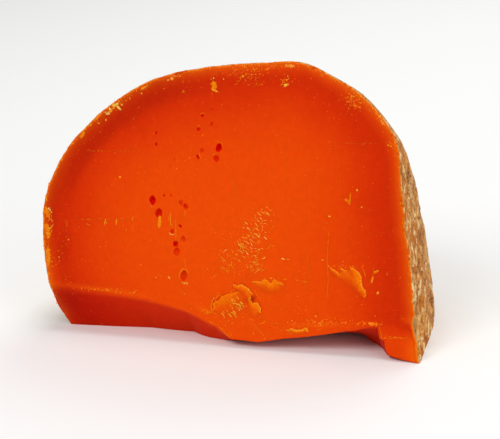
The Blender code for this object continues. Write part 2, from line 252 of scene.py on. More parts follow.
# Places with many small scraped spots, in the same form, with how thickly they lie
SPECKLED = (
    (-84.2, 47.5, 5.5, 1.6, 88, 0.34), (-84.8, 39, 5, 1.3, 90, 0.26),
    (-83.8, 28, 8, 1.6, 93, 0.34), (-79, 33, 10, 4, 90, 0.16), (-57.3, 94.9, 3.4, 1.5, 40, 0.45),
    (-61, 92, 1.6, 1.1, 40, 0.4), (-66, 89, 2.2, 1.1, 48, 0.3), (-72.2, 82.6, 3.2, 1.2, 60, 0.3),
    (-52, 99.5, 4, 1.2, 32, 0.22), (-46.5, 102.8, 3.4, 1, 26, 0.45),
    (-34.6, 107.6, 3.6, 1, 18, 0.55), (-6, 111.6, 12, 2, 4, 0.3), (-3, 109, 5, 2.6, 0, 0.28),
    (8, 113.6, 9, 1.2, 0, 0.3), (11.2, 108.8, 2.4, 2, 0, 0.6), (13, 114.8, 2.4, 0.8, 0, 0.9),
    (39, 102.4, 5, 3, -25, 0.5), (50.5, 95.8, 4.5, 1.2, -52, 0.5),
    (56.2, 85.8, 2.8, 1.6, 0, 0.55), (-59, 19.4, 9, 0.9, -3, 0.5), (-14, 13.2, 5, 1, -14, 0.6),
    (-9, 7.4, 5, 0.9, -38, 0.45), (-3.6, 17, 4.2, 4.2, 0, 0.45), (-5, 36, 7, 6, 0, 0.36),
    (2, 44, 6, 12, 0, 0.3), (6, 31, 6, 3, 0, 0.36), (7, 8.2, 4, 0.9, -50, 0.5),
    (34, 13.4, 15, 1.4, 4, 0.55), (14, 8.4, 12, 1.6, 6, 0.42), (52, 14.4, 4, 1, 0, 0.7),
    (62, 9.6, 6, 0.6, 3, 0.5),
)
SPECKLED_ALL_OVER = 0.14
SPECKLED_RIM = 0.26
SPECKLED_RIM_REACH = 1.1
# The foot at the right has no dark band: it is as light as paste this far from the rim
LIGHT_FOOT_TOP = 16.0
LIGHT_FOOT_FROM = 34.0
LIGHT_FOOT_FADE = 7.0
LIGHT_FOOT_BAND = 26.0

# Marks of the knife and of the paste's grain, each a thin ridge on the cut face: width
# and height in mm, tone, then its points in mm along and up the face
MARKS = (
    (0.35, 0.07, 0.5, -7.8, 82, -7.2, 68, -6.3, 53.9),
    (0.32, 0.07, 0.5, 13.6, 84, 13.9, 70, 14.4, 58),
    (0.35, 0.08, 0.55, 22.9, 81.8, 24, 52, 25.4, 21.9),
    (0.38, 0.1, 0.9, 32.4, 56.5, 32.2, 40, 33.2, 30, 32.6, 18.5),
    (0.32, 0.07, 0.5, 34.9, 82.6, 35.5, 72, 36.1, 62.7),
    (0.3, 0.05, 0.3, -74.6, 75.9, -56, 76.9, -38.7, 78.1),
    (0.3, 0.07, 0.35, -79.7, 46.9, -62, 48.2, -43.6, 49.3),
    (0.3, 0.05, 0.3, 16.6, 84.2, 36, 85.3, 56.7, 86.6),
    (0.75, 0.2, 1.5, -60.6, 45.9, -60.4, 47.7, -59.9, 49),
    (0.75, 0.2, 1.5, -55.6, 46.2, -55.6, 49.2), (0.6, 0.18, 1.4, -49.2, 48.5, -48.5, 50.5),
    (0.42, 0.13, 1.2, -53.6, 49, -53.5, 49.8), (0.42, 0.13, 1.2, -51.2, 44.3, -51.3, 45.4),
    (0.5, 0.15, 1.3, -76.7, 43.7, -76.6, 46.5), (0.5, 0.15, 1.3, -68.6, 46.2, -66.4, 45.5),
    (0.42, 0.13, 1.2, -41.2, 40.9, -40.4, 41.8),
    (1.9, 0.24, 1.3, -37.5, 51.6, -37.4, 49.2, -37.6, 46.2),
    (0.6, 0.16, 1.5, -33.2, 53.4, -32.9, 50, -32.7, 47.4),
    (0.45, 0.14, 1.1, -33.9, 51.8, -33.8, 49.6), (0.6, 0.16, 0.8, -30.7, 51.1, -30.2, 41.2),
    (0.5, 0.18, 2.6, -33.2, 45, -32.4, 44.2, -31.2, 44.2, -30.8, 44.8),
    (0.55, 0.14, 0.8, -27, 54.5, -27, 51.8),
    (0.48, 0.14, 0.95, -26.8, 35.5, -26, 33.8, -25.5, 30.2),
    (0.5, 0.18, 2.3, -27, 25.2, -26, 24.8, -24.8, 25.2),
    (0.7, 0.2, 1.2, -28, 26, -27.9, 28.6, -26.9, 30.4, -25.2, 30.4, -24.2, 28.2),
    (0.7, 0.24, 1.3, -13.7, 19, -14.2, 16.8, -13.7, 14.6, -14.4, 12.9),
    (0.5, 0.18, 1.1, 45.6, 13.2, 46.5, 14.2, 47.6, 14.8),
    (0.5, 0.18, 1.4, 52.3, 13.8, 53.9, 14.8, 55, 14),
    (0.48, 0.18, 1, 54.6, 14.5, 55, 12.9, 56, 8.9, 57, 8.2),
    (0.4, 0.16, 0.8, 56.9, 9.4, 59, 8.9, 61.6, 9.7, 64.6, 9.6, 66.9, 10.2),
    (0.8, 0.24, 1.2, 40.1, 66, 40, 64, 40.3, 61.2),
    (1.5, 0.2, 0.8, 37.6, 63, 39, 62.8, 40.3, 62.4), (0.6, 0.24, 1.3, 38.9, 61.9, 40.5, 61.1),
    (1.7, 0.28, 2.3, -59.9, 94.9, -57.4, 95.5), (1.1, 0.3, 2.6, -58.2, 95, -55.6, 93.3),
    (0.9, 0.26, 2, -61.7, 91.9, -59.4, 93), (1.4, 0.2, 1, -61.2, 92.5, -58.8, 94.3),
    (1.4, 0.26, 1.2, -66.3, 88.6, -65, 91), (1.1, 0.26, 1.2, -70.4, 85.5, -68.4, 86.7),
    (1.3, 0.26, 1.3, -71.7, 84.2, -71.3, 82.3, -72.8, 80.8),
    (0.5, 0.22, 1.6, -52.6, 99, -52.3, 97.5), (1.2, 0.26, 1.5, -48.1, 102, -45, 103.9),
    (2.6, 0.22, 0.9, -85.9, 52.2, -85.3, 48.9, -83.9, 47.4),
    (3.2, 0.24, 1, -85.5, 45.4, -84.3, 41.6, -84.5, 38.3),
    (0.6, 0.4, 2.1, -85.5, 42.6, -83.4, 43.3, -82.2, 45.2),
    (0.6, 0.4, 2, -85.9, 41.6, -83.6, 40.7), (0.5, 0.36, 1.9, -84.9, 40, -83.5, 39.3),
    (0.5, 0.36, 1.7, -82.8, 43, -83.3, 41.1), (2.3, 0.24, 1, -84.5, 36.2, -83.8, 31.7, -84, 26.8),
    (0.6, 0.38, 2, -84.9, 34.3, -84.6, 32.3), (0.6, 0.38, 1.9, -83.7, 31.5, -83.1, 29.1),
    (0.5, 0.38, 1.9, -84.7, 30.5, -83.7, 29.1), (0.9, 0.24, 1.3, -85.2, 61.9, -84.8, 60.3),
    (0.8, 0.24, 1.5, -86.1, 56.1, -85.6, 54.1),
    (3, 0.3, 1.2, -18.3, 107.3, -17.7, 105.4, -16.9, 103.4),
    (1.5, 0.34, 1.6, -19, 104.3, -17.6, 103.5, -15.6, 102.7),
    (0.42, 0.16, 1.2, -22.6, 93.6, -21.8, 94.2, -21, 93.6),
    (0.42, 0.16, 1, -24, 88.6, -23.2, 89, -22.4, 88.6),
    (0.42, 0.14, 1, -16.6, 82.6, -14.8, 83.2, -12.9, 82.2, -12.8, 80.6),
    (0.42, 0.14, 1.6, -16.8, 77.4, -15.9, 78),
    (0.42, 0.14, 1.6, -22.4, 77.6, -22, 76.6, -21.6, 75.6),
    (0.42, 0.14, 1.7, -41.8, 55.2, -40.4, 54.8),
    (0.6, 0.2, 1.1, 51.2, 34.4, 52.8, 35.2, 53.6, 36.2),
    (0.5, 0.18, 1, 46.9, 36.4, 47.4, 34.6, 48.2, 32.6),
    (0.48, 0.18, 1.1, 22.9, 9.8, 24.9, 10.6, 25.9, 10.8, 26.1, 8.9),
    (0.48, 0.16, 1.1, 5.7, 10.4, 7.4, 11.1, 8.6, 12), (0.4, 0.14, 0.7, 9.5, 11.4, 14.6, 11.6),
    (0.42, 0.14, 0.8, 4.4, 9.8, 6.2, 8.2, 8, 6.4, 8.6, 5.6),
    (0.5, 0.16, 0.9, -17.6, 12.8, -15.5, 13.5, -13.4, 13.8, -11, 13),
    (0.48, 0.16, 0.9, -15, 10.3, -12.1, 9),
    (0.48, 0.16, 0.8, -11.1, 8.4, -8.6, 7.1, -7.4, 5.4, -5.3, 4.3),
    (0.42, 0.16, 0.9, 2.6, 24.9, 4.2, 22.8, 5.7, 20.2), (0.48, 0.16, 1.2, 14.3, 29.1, 16.6, 29.8),
    (0.42, 0.16, 1.2, 19.5, 29.8, 21.4, 29.3),
)

# Short strokes of raised grain, from and to in mm along and up the face
STROKES = (
    (3.4, 56.2, 5.2, 55.3), (4.4, 57.3, 5, 56.7), (5.2, 55.3, 6.2, 56.2), (5.8, 55, 8.4, 54.2),
    (6.3, 58.2, 7, 57.6), (7.7, 57.1, 9.2, 56.5), (9.2, 55.2, 10, 55), (5.3, 52.5, 7.1, 52.4),
    (2.6, 53.3, 3.4, 52.7), (3.4, 52.1, 4.3, 51.8), (3.8, 53.6, 5.1, 52.4),
    (5.1, 52.4, 4.2, 50.8), (1.3, 49.3, 4.1, 48), (4.9, 50.5, 5.5, 49.5), (5.5, 49.5, 4.9, 47.9),
    (3, 50.2, 3.9, 49.5), (-0.1, 47.6, 1.5, 47.3), (1.5, 47.3, 4.4, 45.1),
    (-2.9, 45.5, -1.6, 44.7), (-1.6, 44.7, -0.6, 45.5), (-0.1, 44.9, 1.4, 44.2),
    (1.4, 44.2, 2, 43.3), (-3, 41.9, -1, 40.8), (-1, 40.8, -1.1, 42.4), (-4.4, 42.3, -3.2, 41.3),
    (-2.4, 40.3, -1.1, 39.8), (-1.1, 39.8, 0.4, 38.1), (0.7, 41.7, 1.7, 40.7),
    (6, 45.9, 7.3, 44.7), (6, 47.7, 7.1, 47.6), (2.5, 41, 3.4, 40.9), (4.6, 41.2, 6.4, 41),
    (4.1, 40.2, 4.7, 41), (2.4, 38.1, 4, 37.1), (5.6, 37, 7.2, 38.1), (1.9, 35.3, 2.8, 36.1),
    (0.7, 35.5, 1.3, 35.2), (2.8, 34.2, 4.9, 34.9), (4.4, 32.8, 5.5, 32.5),
    (13.5, 37.7, 15.2, 37.3), (15.6, 37.8, 17, 37.6), (-2.1, 37.5, -1.2, 36.6),
    (-10.4, 38.2, -8.5, 39.7), (-4.3, 40, -2.9, 39.3), (0.2, 50.8, 0.9, 50.5),
    (-1.2, 49.1, 0, 48.3), (3.7, 47, 4.6, 46.7), (-5.3, 38.3, -4.4, 37.7), (3.4, 43.8, 4, 42.8),
    (8.5, 52.9, 9, 52.2), (1, 46, 2.4, 45), (2.2, 51.4, 3.2, 50.2), (-1, 43.6, 0.4, 42.6),
    (1, 43, 1.6, 41.8),
)
STROKE_TONE = (2.0, 2.8)

# Places with more such strokes: the middle along and up the face, half width and half
# height in mm, the strokes' turn and its spread in degrees, their count, how far they
# lie out from the face in mm, and their tone
DASH_PATCHES = (
    (4.6, 54, 3.4, 3.4, -28, 14, 12, 0, 1.8), (1.4, 47, 3, 4, -42, 16, 18, 0, 1.8),
    (-2.6, 41.2, 2.6, 3, -50, 18, 16, 0, 1.7), (-6.8, 35.4, 4.2, 4.6, -40, 30, 34, 0, 1.3),
    (3.8, 36, 2.6, 4.6, 8, 34, 24, 0, 1.8), (9, 47, 2.4, 6, 30, 30, 8, 0, 1.1),
    (-3.4, 18.6, 2.8, 2.2, -38, 12, 20, 0.3, 1.9), (-6.4, 14.6, 2.8, 1.5, -46, 14, 18, 0.1, 1.7),
    (-9, 19.6, 3, 1.4, 30, 20, 8, 0.26, 1.3), (-4, 109.4, 5, 3.2, 50, 24, 18, 0, 1),
    (11.2, 108.4, 1.4, 1.8, 50, 24, 8, 0, 1.5), (39.6, 102, 3.2, 3, -60, 30, 10, 0, 1.2),
    (-52, 47.6, 22, 2, 88, 12, 8, 0, 1.2), (-60, 19.6, 16, 0.6, 10, 50, 10, 0, 1.1),
)
DASH_LENGTH = (0.9, 2.4)
DASH_WIDTH = 0.35
DASH_HEIGHT = 0.15
DASH_TONE_SPREAD = 0.35
DASH_BEND = 0.2
DASH_WIDTHS = (0.7, 1.5)
DASH_HEIGHTS = (0.7, 1.4)
MARK_STEP = 0.18
MARK_ROOT = 0.12
MARK_FOOT_TONE = 0.6
MARK_TAPER = 4.0
MARK_END = 0.15
MARK_WAVE_SIZE = 0.5
MARK_WIDTH_WAVE = 0.6
MARK_HEIGHT_WAVE = 0.5
MARK_SWAY_SIZE = 1.5
MARK_SWAY = 0.12

# Crumbs on the rim: from and to, in degrees round the ball from the flat pole, how many,
# smallest and largest radius in mm, tone from and to
RIM_CRUMBS = (
    (2, 40, 70, 0.1, 0.28, 0.6, 1.6), (40, 110, 90, 0.1, 0.26, 0.8, 2),
    (110, 138, 50, 0.12, 0.34, 0.8, 1.8), (138, 176, 60, 0.12, 0.34, 0.6, 1.6),
)
# Crumbs on the face beside those in the speckled places: middle along and up it, half
# length and half width in mm, turn in degrees, how many, and largest radius in mm
FACE_CRUMBS = (
    (-66, 89.2, 1.2, 1.2, 50, 8, 0.45), (-72, 83, 1.6, 0.9, 60, 12, 0.45),
    (-69.2, 86.4, 1.4, 0.7, 55, 8, 0.42), (-37.9, 103.3, 0.7, 0.7, 30, 4, 0.3),
    (-31, 106.6, 2, 0.8, 90, 8, 0.35), (-29.8, 101.8, 1, 0.8, 0, 6, 0.4),
    (-3, 108.6, 5.2, 3.8, 0, 20, 0.3), (11.2, 108.6, 1.4, 1.8, 0, 10, 0.4),
    (39, 102.6, 3.6, 2.6, -20, 14, 0.36), (58, 81.8, 0.8, 1.8, 0, 6, 0.3),
    (-57, 76.7, 17, 0.3, 3, 44, 0.2), (-61.6, 48.6, 18, 0.4, 7, 34, 0.2),
    (36.6, 85.5, 19, 0.3, 2, 36, 0.17), (47, 35.2, 1.6, 0.8, 0, 6, 0.25),
    (41, 36.4, 4, 0.6, 0, 26, 0.26), (-4, 36, 12, 12, 0, 90, 0.24), (8, 22, 32, 14, 0, 130, 0.22),
    (-4, 58, 74, 50, 0, 340, 0.17),
)
FACE_CRUMB_SMALLEST = 0.07
FACE_CRUMB_TONE = (0.6, 1.8)
# The same for the cream crumbs where the rind's edge broke most
CREAM_CRUMBS = (
    (-57.3, 94.7, 2.1, 1.2, 40, 22, 0.5), (-60.9, 92.2, 1.4, 0.9, 40, 14, 0.45),
    (-34.6, 107.8, 1.6, 0.5, 15, 8, 0.36), (13, 114.8, 1.8, 0.5, 0, 10, 0.36),
    (-84.4, 49, 1, 3, 0, 12, 0.42),
)
CREAM_CRUMB_TONE = (1.9, 3.0)
# Single pale crumbs: along, up, and radius in mm
SINGLE_CRUMBS = (
    (42.7, 67.1, 0.36), (-62.1, 89, 0.4), (-65, 87.4, 0.34), (-47.6, 100.5, 0.36),
    (44.8, 60.5, 0.3), (32.2, 55.9, 0.46), (53.3, 26.9, 0.42), (30.4, 38.4, 0.34),
    (35.2, 36.3, 0.34), (56.6, 34.5, 0.3), (-32.3, 26.6, 0.42), (-37.8, 26.2, 0.26),
    (-55, 66.1, 0.34), (-13.9, 108.1, 0.4), (-18, 108.2, 0.34), (-19, 107.8, 0.28),
    (-25.7, 24.6, 0.34), (-24.6, 24.7, 0.34), (-13.2, 19.6, 0.4), (-13.7, 18.6, 0.3),
    (29, 15.7, 0.34), (-5.3, 16.3, 0.4), (-2.4, 15.8, 0.4), (11.6, 107, 0.5), (-6, 109.6, 0.4),
    (46.8, 37.2, 0.3), (38.4, 37, 0.26),
)
SINGLE_CRUMB_TONE = (1.4, 2.2)
CRUMBS_PER_MM2 = 1.5
SPECKLE_CRUMB_LARGEST = 0.34
CRUMB_ROUGHNESS = 0.6
CRUMB_WAVE = 1.6
FINE_CRUMB = 0.3
CRUMB_STRETCH = ((0.7, 1.5), (0.5, 1.1), (0.3, 0.6))
RIM_CRUMB_REACH = 0.0012
RIM_CRUMB_INSIDE = 0.6
RIM_CRUMB_BEHIND = 0.3
RIM_CRUMB_STRETCH = (0.6, 1.4)
CRUMB_CLEAR_OF_RIM = 0.0003
CRUMB_CLEAR_OF_FOOT = 0.4

# Foot at the flat pole, whose lower part was cut a little deeper
FOOT_STEP_FROM = 0.0480
FOOT_STEP_TO = 0.0700
FOOT_STEP_TOP = 0.0096
FOOT_STEP_DEPTH = 0.0008
FOOT_STEP_CUTS = 60
FOOT_STEP_UNEVEN = 0.002
FOOT_STEP_WAVE = 0.00045
FOOT_STEP_WAVE_SIZE = 0.0011

# Bites that broke out of the rind's edge: as in the part, then many smaller ones. How
# many, smallest and largest radius, and how finely they are divided
RIM_BITES = ((22, 0.0008, 0.0019, 3), (70, 0.0003, 0.0009, 2))
RIM_BITE_STRETCH = (0.8, 1.6)
RIM_BITE_FORWARD = 0.5
RIM_BITE_UNEVEN = 0.5
RIM_FROM = math.radians(-2.0)
RIM_TO = math.radians(176.0)
SEED = 7

# Fine mesh of the cut face: rings that follow the rim, at these distances inside it
RIM_COLUMNS = 760
RIM_RINGS = (-2.0, -0.45, 0.14, 0.34, 0.60, 0.90, 1.3, 1.8, 2.4, 3.1, 4.0, 5.0, 6.2)
INNER_RING_STEP = 1.5
INNER_RING_LAST = 66.0
# Worn rim, in mm: how far the wear reaches along the face and behind it, how round it
# is, and how ragged
WORN_ALONG = 2.5
WORN_BEHIND = 2.0
RIM_ROUNDING = 0.9
RIM_PULL = 0.32
RIM_RAGGED = 0.28
RIM_RAGGED_MOST = 0.25
# Waves of the rim's rounding and raggedness: size in metres, seed and height
RIM_ROUNDING_WAVES = ((0.006, 2.0, 0.7),)
RIM_RAGGED_WAVES = ((0.0011, 5.0, 1.0), (0.0032, 9.0, 0.6))
# Rind this far behind the face still gets its distance from the rim
RIM_SEEN_BEHIND = 0.003
# Low waves of the cut face as size in metres, seed and height in mm, and how far from
# the rim they are at their full height
FACE_WAVES = ((0.014, 1.0, 0.10), (0.004, 3.0, 0.03))
FACE_WAVES_FROM = 4.0
FLAT_WITHIN = 0.02
CHEESE_SHARP = math.radians(38.0)
PIECE_SHARP = math.radians(50.0)

CUTTER_REACH = 0.16
RIND, PASTE, UNDER, DEEP, CRUMBLED = range(5)

# Directions of the cut face and of the ball
ALONG = np.array((1.0, 0.0, 0.0))
UP_FACE = np.array((0.0, math.sin(FACE_LEAN), math.cos(FACE_LEAN)))
INTO_CHEESE = np.array((0.0, math.cos(FACE_LEAN), -math.sin(FACE_LEAN)))
FACE_AXES = Matrix((ALONG, UP_FACE, -INTO_CHEESE)).transposed().to_4x4()
POLE = ALONG * math.cos(POLE_LINE_TILT) + UP_FACE * math.sin(POLE_LINE_TILT)
RISE = UP_FACE * math.cos(POLE_LINE_TILT) - ALONG * math.sin(POLE_LINE_TILT)


# Numbers and places

def unit(values):
    """The values held between 0 and 1."""
    return np.clip(values, 0.0, 1.0)


def wave(x, y, z=0.0):
    """Noise between -1 and 1 at one place."""
    return noise.noise(Vector((x, y, z)))


def rotated(x, y, degrees):
    """A place turned anticlockwise round the origin."""
    cos, sin = math.cos(math.radians(degrees)), math.sin(math.radians(degrees))
    return x * cos - y * sin, x * sin + y * cos


def tree_of(places):
    """Search tree of places given as two numbers each."""
    tree = kdtree.KDTree(len(places))
    for index, (u, v) in enumerate(places):
        tree.insert((u, v, 0.0), index)
    tree.balance()
    return tree


def face_points(along, up, depth=0.0):
    """Points given in metres along the cut face, up its slope, and behind it."""
    along, up, depth = np.broadcast_arrays(along, up, depth)
    return (
        FACE_FOOT
        + along[..., None] * ALONG
        + up[..., None] * UP_FACE
        + depth[..., None] * INTO_CHEESE
    )


def on_face(points):
    """Along, up and depth of points, in metres."""
    local = points - FACE_FOOT
    return local @ ALONG, local @ UP_FACE, local @ INTO_CHEESE


def face_matrix(along, up, depth=0.0, turn=0.0):
    """Frame on the cut face: X along it, Y up its slope and Z out of the cheese."""
    place = Matrix.Translation(Vector(face_points(along, up, depth)))
    return place @ FACE_AXES @ Matrix.Rotation(turn, 4, "Z")


BALL_CENTRE = face_points(*FACE_MIDDLE)


# The ball's rind

def dome_radius(angle, pole_radius, exponent):
    """Superellipse through the pole and the equator, in polar form."""
    pole_part = np.abs(np.cos(angle) / pole_radius) ** exponent
    equator_part = np.abs(np.sin(angle) / EQUATOR_RADIUS) ** exponent
    return (pole_part + equator_part) ** (-1.0 / exponent)


def ball_radius(angle):
    """Distance from the ball's centre to its rind, at an angle from the flat pole."""
    domed = dome_radius(angle, DOMED_POLE, DOMED_EXPONENT)
    full = dome_radius(angle, FULL_DOME, FULL_EXPONENT)
    disc_part = (np.maximum(np.cos(angle), 0.0) / FLAT_POLE) ** DISC_EDGE_SHARPNESS
    full_part = (1.0 / full) ** DISC_EDGE_SHARPNESS
    flat = (disc_part + full_part) ** (-1.0 / DISC_EDGE_SHARPNESS)
    return np.where(np.cos(angle) <= 0.0, domed, flat)


def lump_height(angle, turn):
    """Summed height of the lumps in a direction."""
    height = np.zeros_like(angle)
    for from_pole, behind, pole_spread, turn_spread, rise in LUMPS:
        off_pole = (np.degrees(angle) - from_pole) / pole_spread
        off_turn = (np.degrees(np.abs(turn)) - behind) / turn_spread
        height += rise * MM * np.exp(-(off_pole**2) - off_turn**2)
    return height


def tucked(points):
    """The points drawn in where they lie low under the domed pole."""
    low = unit((TUCK_TOP - points[:, 2]) / TUCK_TOP)
    left = unit(-points[:, 0] / TUCK_ALONG)
    return points + (TUCK_IN * low * left)[:, None] * ALONG


def pit_at(at, spacing, reach):
    """How deep one kind of pit is at a place, from 0 to 1."""
    nearest = noise.voronoi(at / spacing)[0][0]
    return max(0.0, 1.0 - (nearest / reach) ** 2)


def pits_at(at):
    """How deep the large and the small pits are at one place, each from 0 to 1."""
    wobble = [noise.noise(at / PIT_WOBBLE_SIZE + shift) for shift in PIT_WOBBLE_SHIFTS]
    at = at + Vector(wobble) * PIT_WOBBLE
    often = max(0.0, noise.noise(at / RIPPLE_SIZE + SMALL_PIT_SHIFT) + SMALL_PIT_OFTEN)
    small = pit_at(at, SMALL_PIT_SPACING, SMALL_PIT_REACH) * often
    return pit_at(at, PIT_SPACING, PIT_REACH), small


def rind_relief(points, angle, turn):
    """Swells, ripples and pits, with finer pits and grain away from the cut."""
    away = unit(np.abs(turn) / CALM_AT_RIM)
    swell_share = away * unit((angle / CALM_AT_POLE) ** 2)
    fine_share = RELIEF_AT_RIM + (1.0 - RELIEF_AT_RIM) * away
    relief = np.zeros(len(points))
    for index, place in enumerate(points):
        at = Vector(place)
        swell = noise.noise(at / SWELL_SIZE) * SWELL_HEIGHT * swell_share[index]
        ripple = noise.noise(at / RIPPLE_SIZE) * RIPPLE_HEIGHT
        large, small = pits_at(at)
        pits = large * PIT_DEPTH + small * SMALL_PIT_DEPTH
        grain = noise.fractal(at / GRAIN_SIZE, GRAIN_ROUGHNESS, 2.0, 3) * GRAIN_HEIGHT
        relief[index] = swell + (ripple - pits + grain) * fine_share[index]
    return relief


def rind_points(directions):
    """Points of the rind in directions of length 1 from the ball's centre."""
    angle = np.arccos(np.clip(directions @ POLE, -1.0, 1.0))
    turn = np.arctan2(directions @ INTO_CHEESE, directions @ RISE)
    radius = ball_radius(angle) + lump_height(angle, turn)
    offset = directions * radius[:, None]
    rough = BALL_CENTRE + offset
    shown = (on_face(rough)[2] > LEAST_DEPTH) & (rough[:, 2] > LEAST_HEIGHT)
    relief = np.zeros(len(directions))
    relief[shown] = rind_relief(offset[shown], angle[shown], turn[shown])
    return tucked(rough + directions * relief[:, None])


def rim_directions(angles):
    """Directions from the ball's centre along the cut face, by angle from the flat pole."""
    return np.outer(np.cos(angles), POLE) + np.outer(np.sin(angles), RISE)


def rim_points(count):
    """Rim of the cut face, as points in metres along and up it, all round the ball."""
    angles = np.linspace(0.0, math.tau, count, endpoint=False)
    along, up, _ = on_face(rind_points(rim_directions(angles)))
    return np.stack([along, up], axis=1)


RIM = rim_points(2 * RIM_COLUMNS)
RIM_TREE = tree_of(RIM)


def rim_distances(along, up):
    """Distance in mm of places on the face from its rim."""
    return np.array([RIM_TREE.find((u, v, 0.0))[2] / MM for u, v in zip(along, up)])


# Meshes and objects

def skin(bm, rings, closed=True):
    """Faces from each loop of vertices to the next, and over both ends if closed."""
    for near, far in zip(rings, rings[1:]):
        for index in range(len(near)):
            after = (index + 1) % len(near)
            bm.faces.new((near[index], far[index], far[after], near[after]))
    if closed:
        bm.faces.new(rings[0])
        bm.faces.new(reversed(rings[-1]))


def turn_outward(bm):
    """Turns the faces of one closed mesh outward."""
    bmesh.ops.recalc_face_normals(bm, faces=bm.faces)
    if bm.calc_volume(signed=True) < 0.0:
        bmesh.ops.reverse_faces(bm, faces=bm.faces)


def new_object(name, data, place=(0.0, 0.0, 0.0), way=None):
    """Object at a place in the scene; its -Z looks the way given."""
    item = bpy.data.objects.new(name, data)
    item.location = place
    if way is not None:
        item.rotation_euler = way.to_track_quat("-Z", "Y").to_euler()
    bpy.context.scene.collection.objects.link(item)
    return item


def new_mesh_object(name, bm, slots=(), index=0):
    """Object made from a bmesh, which is freed."""
    mesh = bpy.data.meshes.new(name)
    bm.to_mesh(mesh)
    bm.free()
    for material in slots:
        mesh.materials.append(material)
    mesh.polygons.foreach_set("material_index", [index] * len(mesh.polygons))
    return new_object(name, mesh)


def read_all(items, name, width=1, kind=np.int32):
    """One property of all the vertices, faces or corners of a mesh."""
    values = np.empty(len(items) * width, dtype=kind)
    items.foreach_get(name, values)
    return values if width == 1 else values.reshape(-1, width)


def mesh_points(mesh):
    return read_all(mesh.vertices, "co", 3, float)


def set_mesh_points(mesh, points):
    mesh.vertices.foreach_set("co", points.ravel())
    mesh.update()


def set_values(mesh, name, values, domain="POINT"):
    """A number for each vertex or face corner, which the materials read by name."""
    layer = mesh.attributes.new(name, "FLOAT", domain)
    layer.data.foreach_set("value", np.asarray(values, dtype=np.float32))


def soft_noise(places, size, seed=0.0):
    """Noise between -1 and 1 at points given in metres."""
    shift = Vector((seed, 2.0 * seed, 0.5 * seed))
    return np.array([noise.noise(Vector(p) / size + shift) for p in places])


def summed_noise(places, waves):
    """Sum of several such noises, each given by its size, seed and height."""
    return sum(soft_noise(places, size, seed) * high for size, seed, high in waves)


def add_lump(bm, divisions, rough, size, seed):
    """The vertices of a new ball of radius 1 with bumps."""
    verts = bmesh.ops.create_icosphere(bm, subdivisions=divisions, radius=1.0)["verts"]
    for vert in verts:
        bumps = noise.noise(vert.co * size + Vector((seed, 0.0, -seed)))
        vert.co *= 1.0 + rough * bumps
    return verts


def shape_matrix(place, angle, axis, radii):
    """Stretches by the radii, turns round the axis, then moves to the place."""
    spin = Matrix.Rotation(angle, 4, Vector(axis))
    return Matrix.Translation(Vector(place)) @ spin @ Matrix.Diagonal((*radii, 1.0))


def combine(item, others, operation):
    """Joins the others to the item, or cuts them from it, and deletes them."""
    for other in others:
        modifier = item.modifiers.new(operation.lower() + " " + other.name, "BOOLEAN")
        modifier.operation = operation
        modifier.solver = "MANIFOLD"
        modifier.object = other
    graph = bpy.context.evaluated_depsgraph_get()
    mesh = bpy.data.meshes.new_from_object(item.evaluated_get(graph))
    item.modifiers.clear()
    item.data = mesh
    for other in others:
        bpy.data.objects.remove(other, do_unlink=True)


def split_large_faces(mesh):
    """Cuts faces of many corners into triangles while they are still flat."""
    bm = bmesh.new()
    bm.from_mesh(mesh)
    large = [face for face in bm.faces if len(face.verts) > 4]
    bmesh.ops.triangulate(bm, faces=large)
    bm.to_mesh(mesh)
    bm.free()


# The cheese itself

def make_ball(slots):
    bm = bmesh.new()
    bmesh.ops.create_icosphere(bm, subdivisions=BALL_DIVISIONS, radius=1.0)
    ball = new_mesh_object("cheese_body", bm, slots, RIND)
    directions = mesh_points(ball.data)
    directions /= np.linalg.norm(directions, axis=1)[:, None]
    set_mesh_points(ball.data, rind_points(directions))
    return ball


def make_face_cutter(slots):
    """All that lies in front of the cut face. Its back is a mesh of rings that follow
    the rim, so that the face gets them from the cut."""
    rim = RIM[::2]
    outward = rim - FACE_MIDDLE
    outward /= np.linalg.norm(outward, axis=1)[:, None]
    outer = FACE_MIDDLE + outward * CUTTER_REACH
    inner = np.arange(RIM_RINGS[-1], INNER_RING_LAST, INNER_RING_STEP)[1:]
    loops = [outer] + [rim - outward * inside * MM for inside in (*RIM_RINGS, *inner)]
    bm = bmesh.new()
    rings = [[bm.verts.new(p) for p in face_points(*outer.T, -CUTTER_REACH)]]
    for loop in loops:
        rings.append([bm.verts.new(p) for p in face_points(*loop.T)])
    skin(bm, rings, closed=False)
    for ring, depth in ((rings[-1], 0.0), (rings[0], -CUTTER_REACH)):
        hub = bm.verts.new(face_points(*FACE_MIDDLE, depth))
        for vert, beside in zip(ring, ring[1:] + ring[:1]):
            bm.faces.new((vert, beside, hub))
    turn_outward(bm)
    return new_mesh_object("face_cut", bm, slots, PASTE)


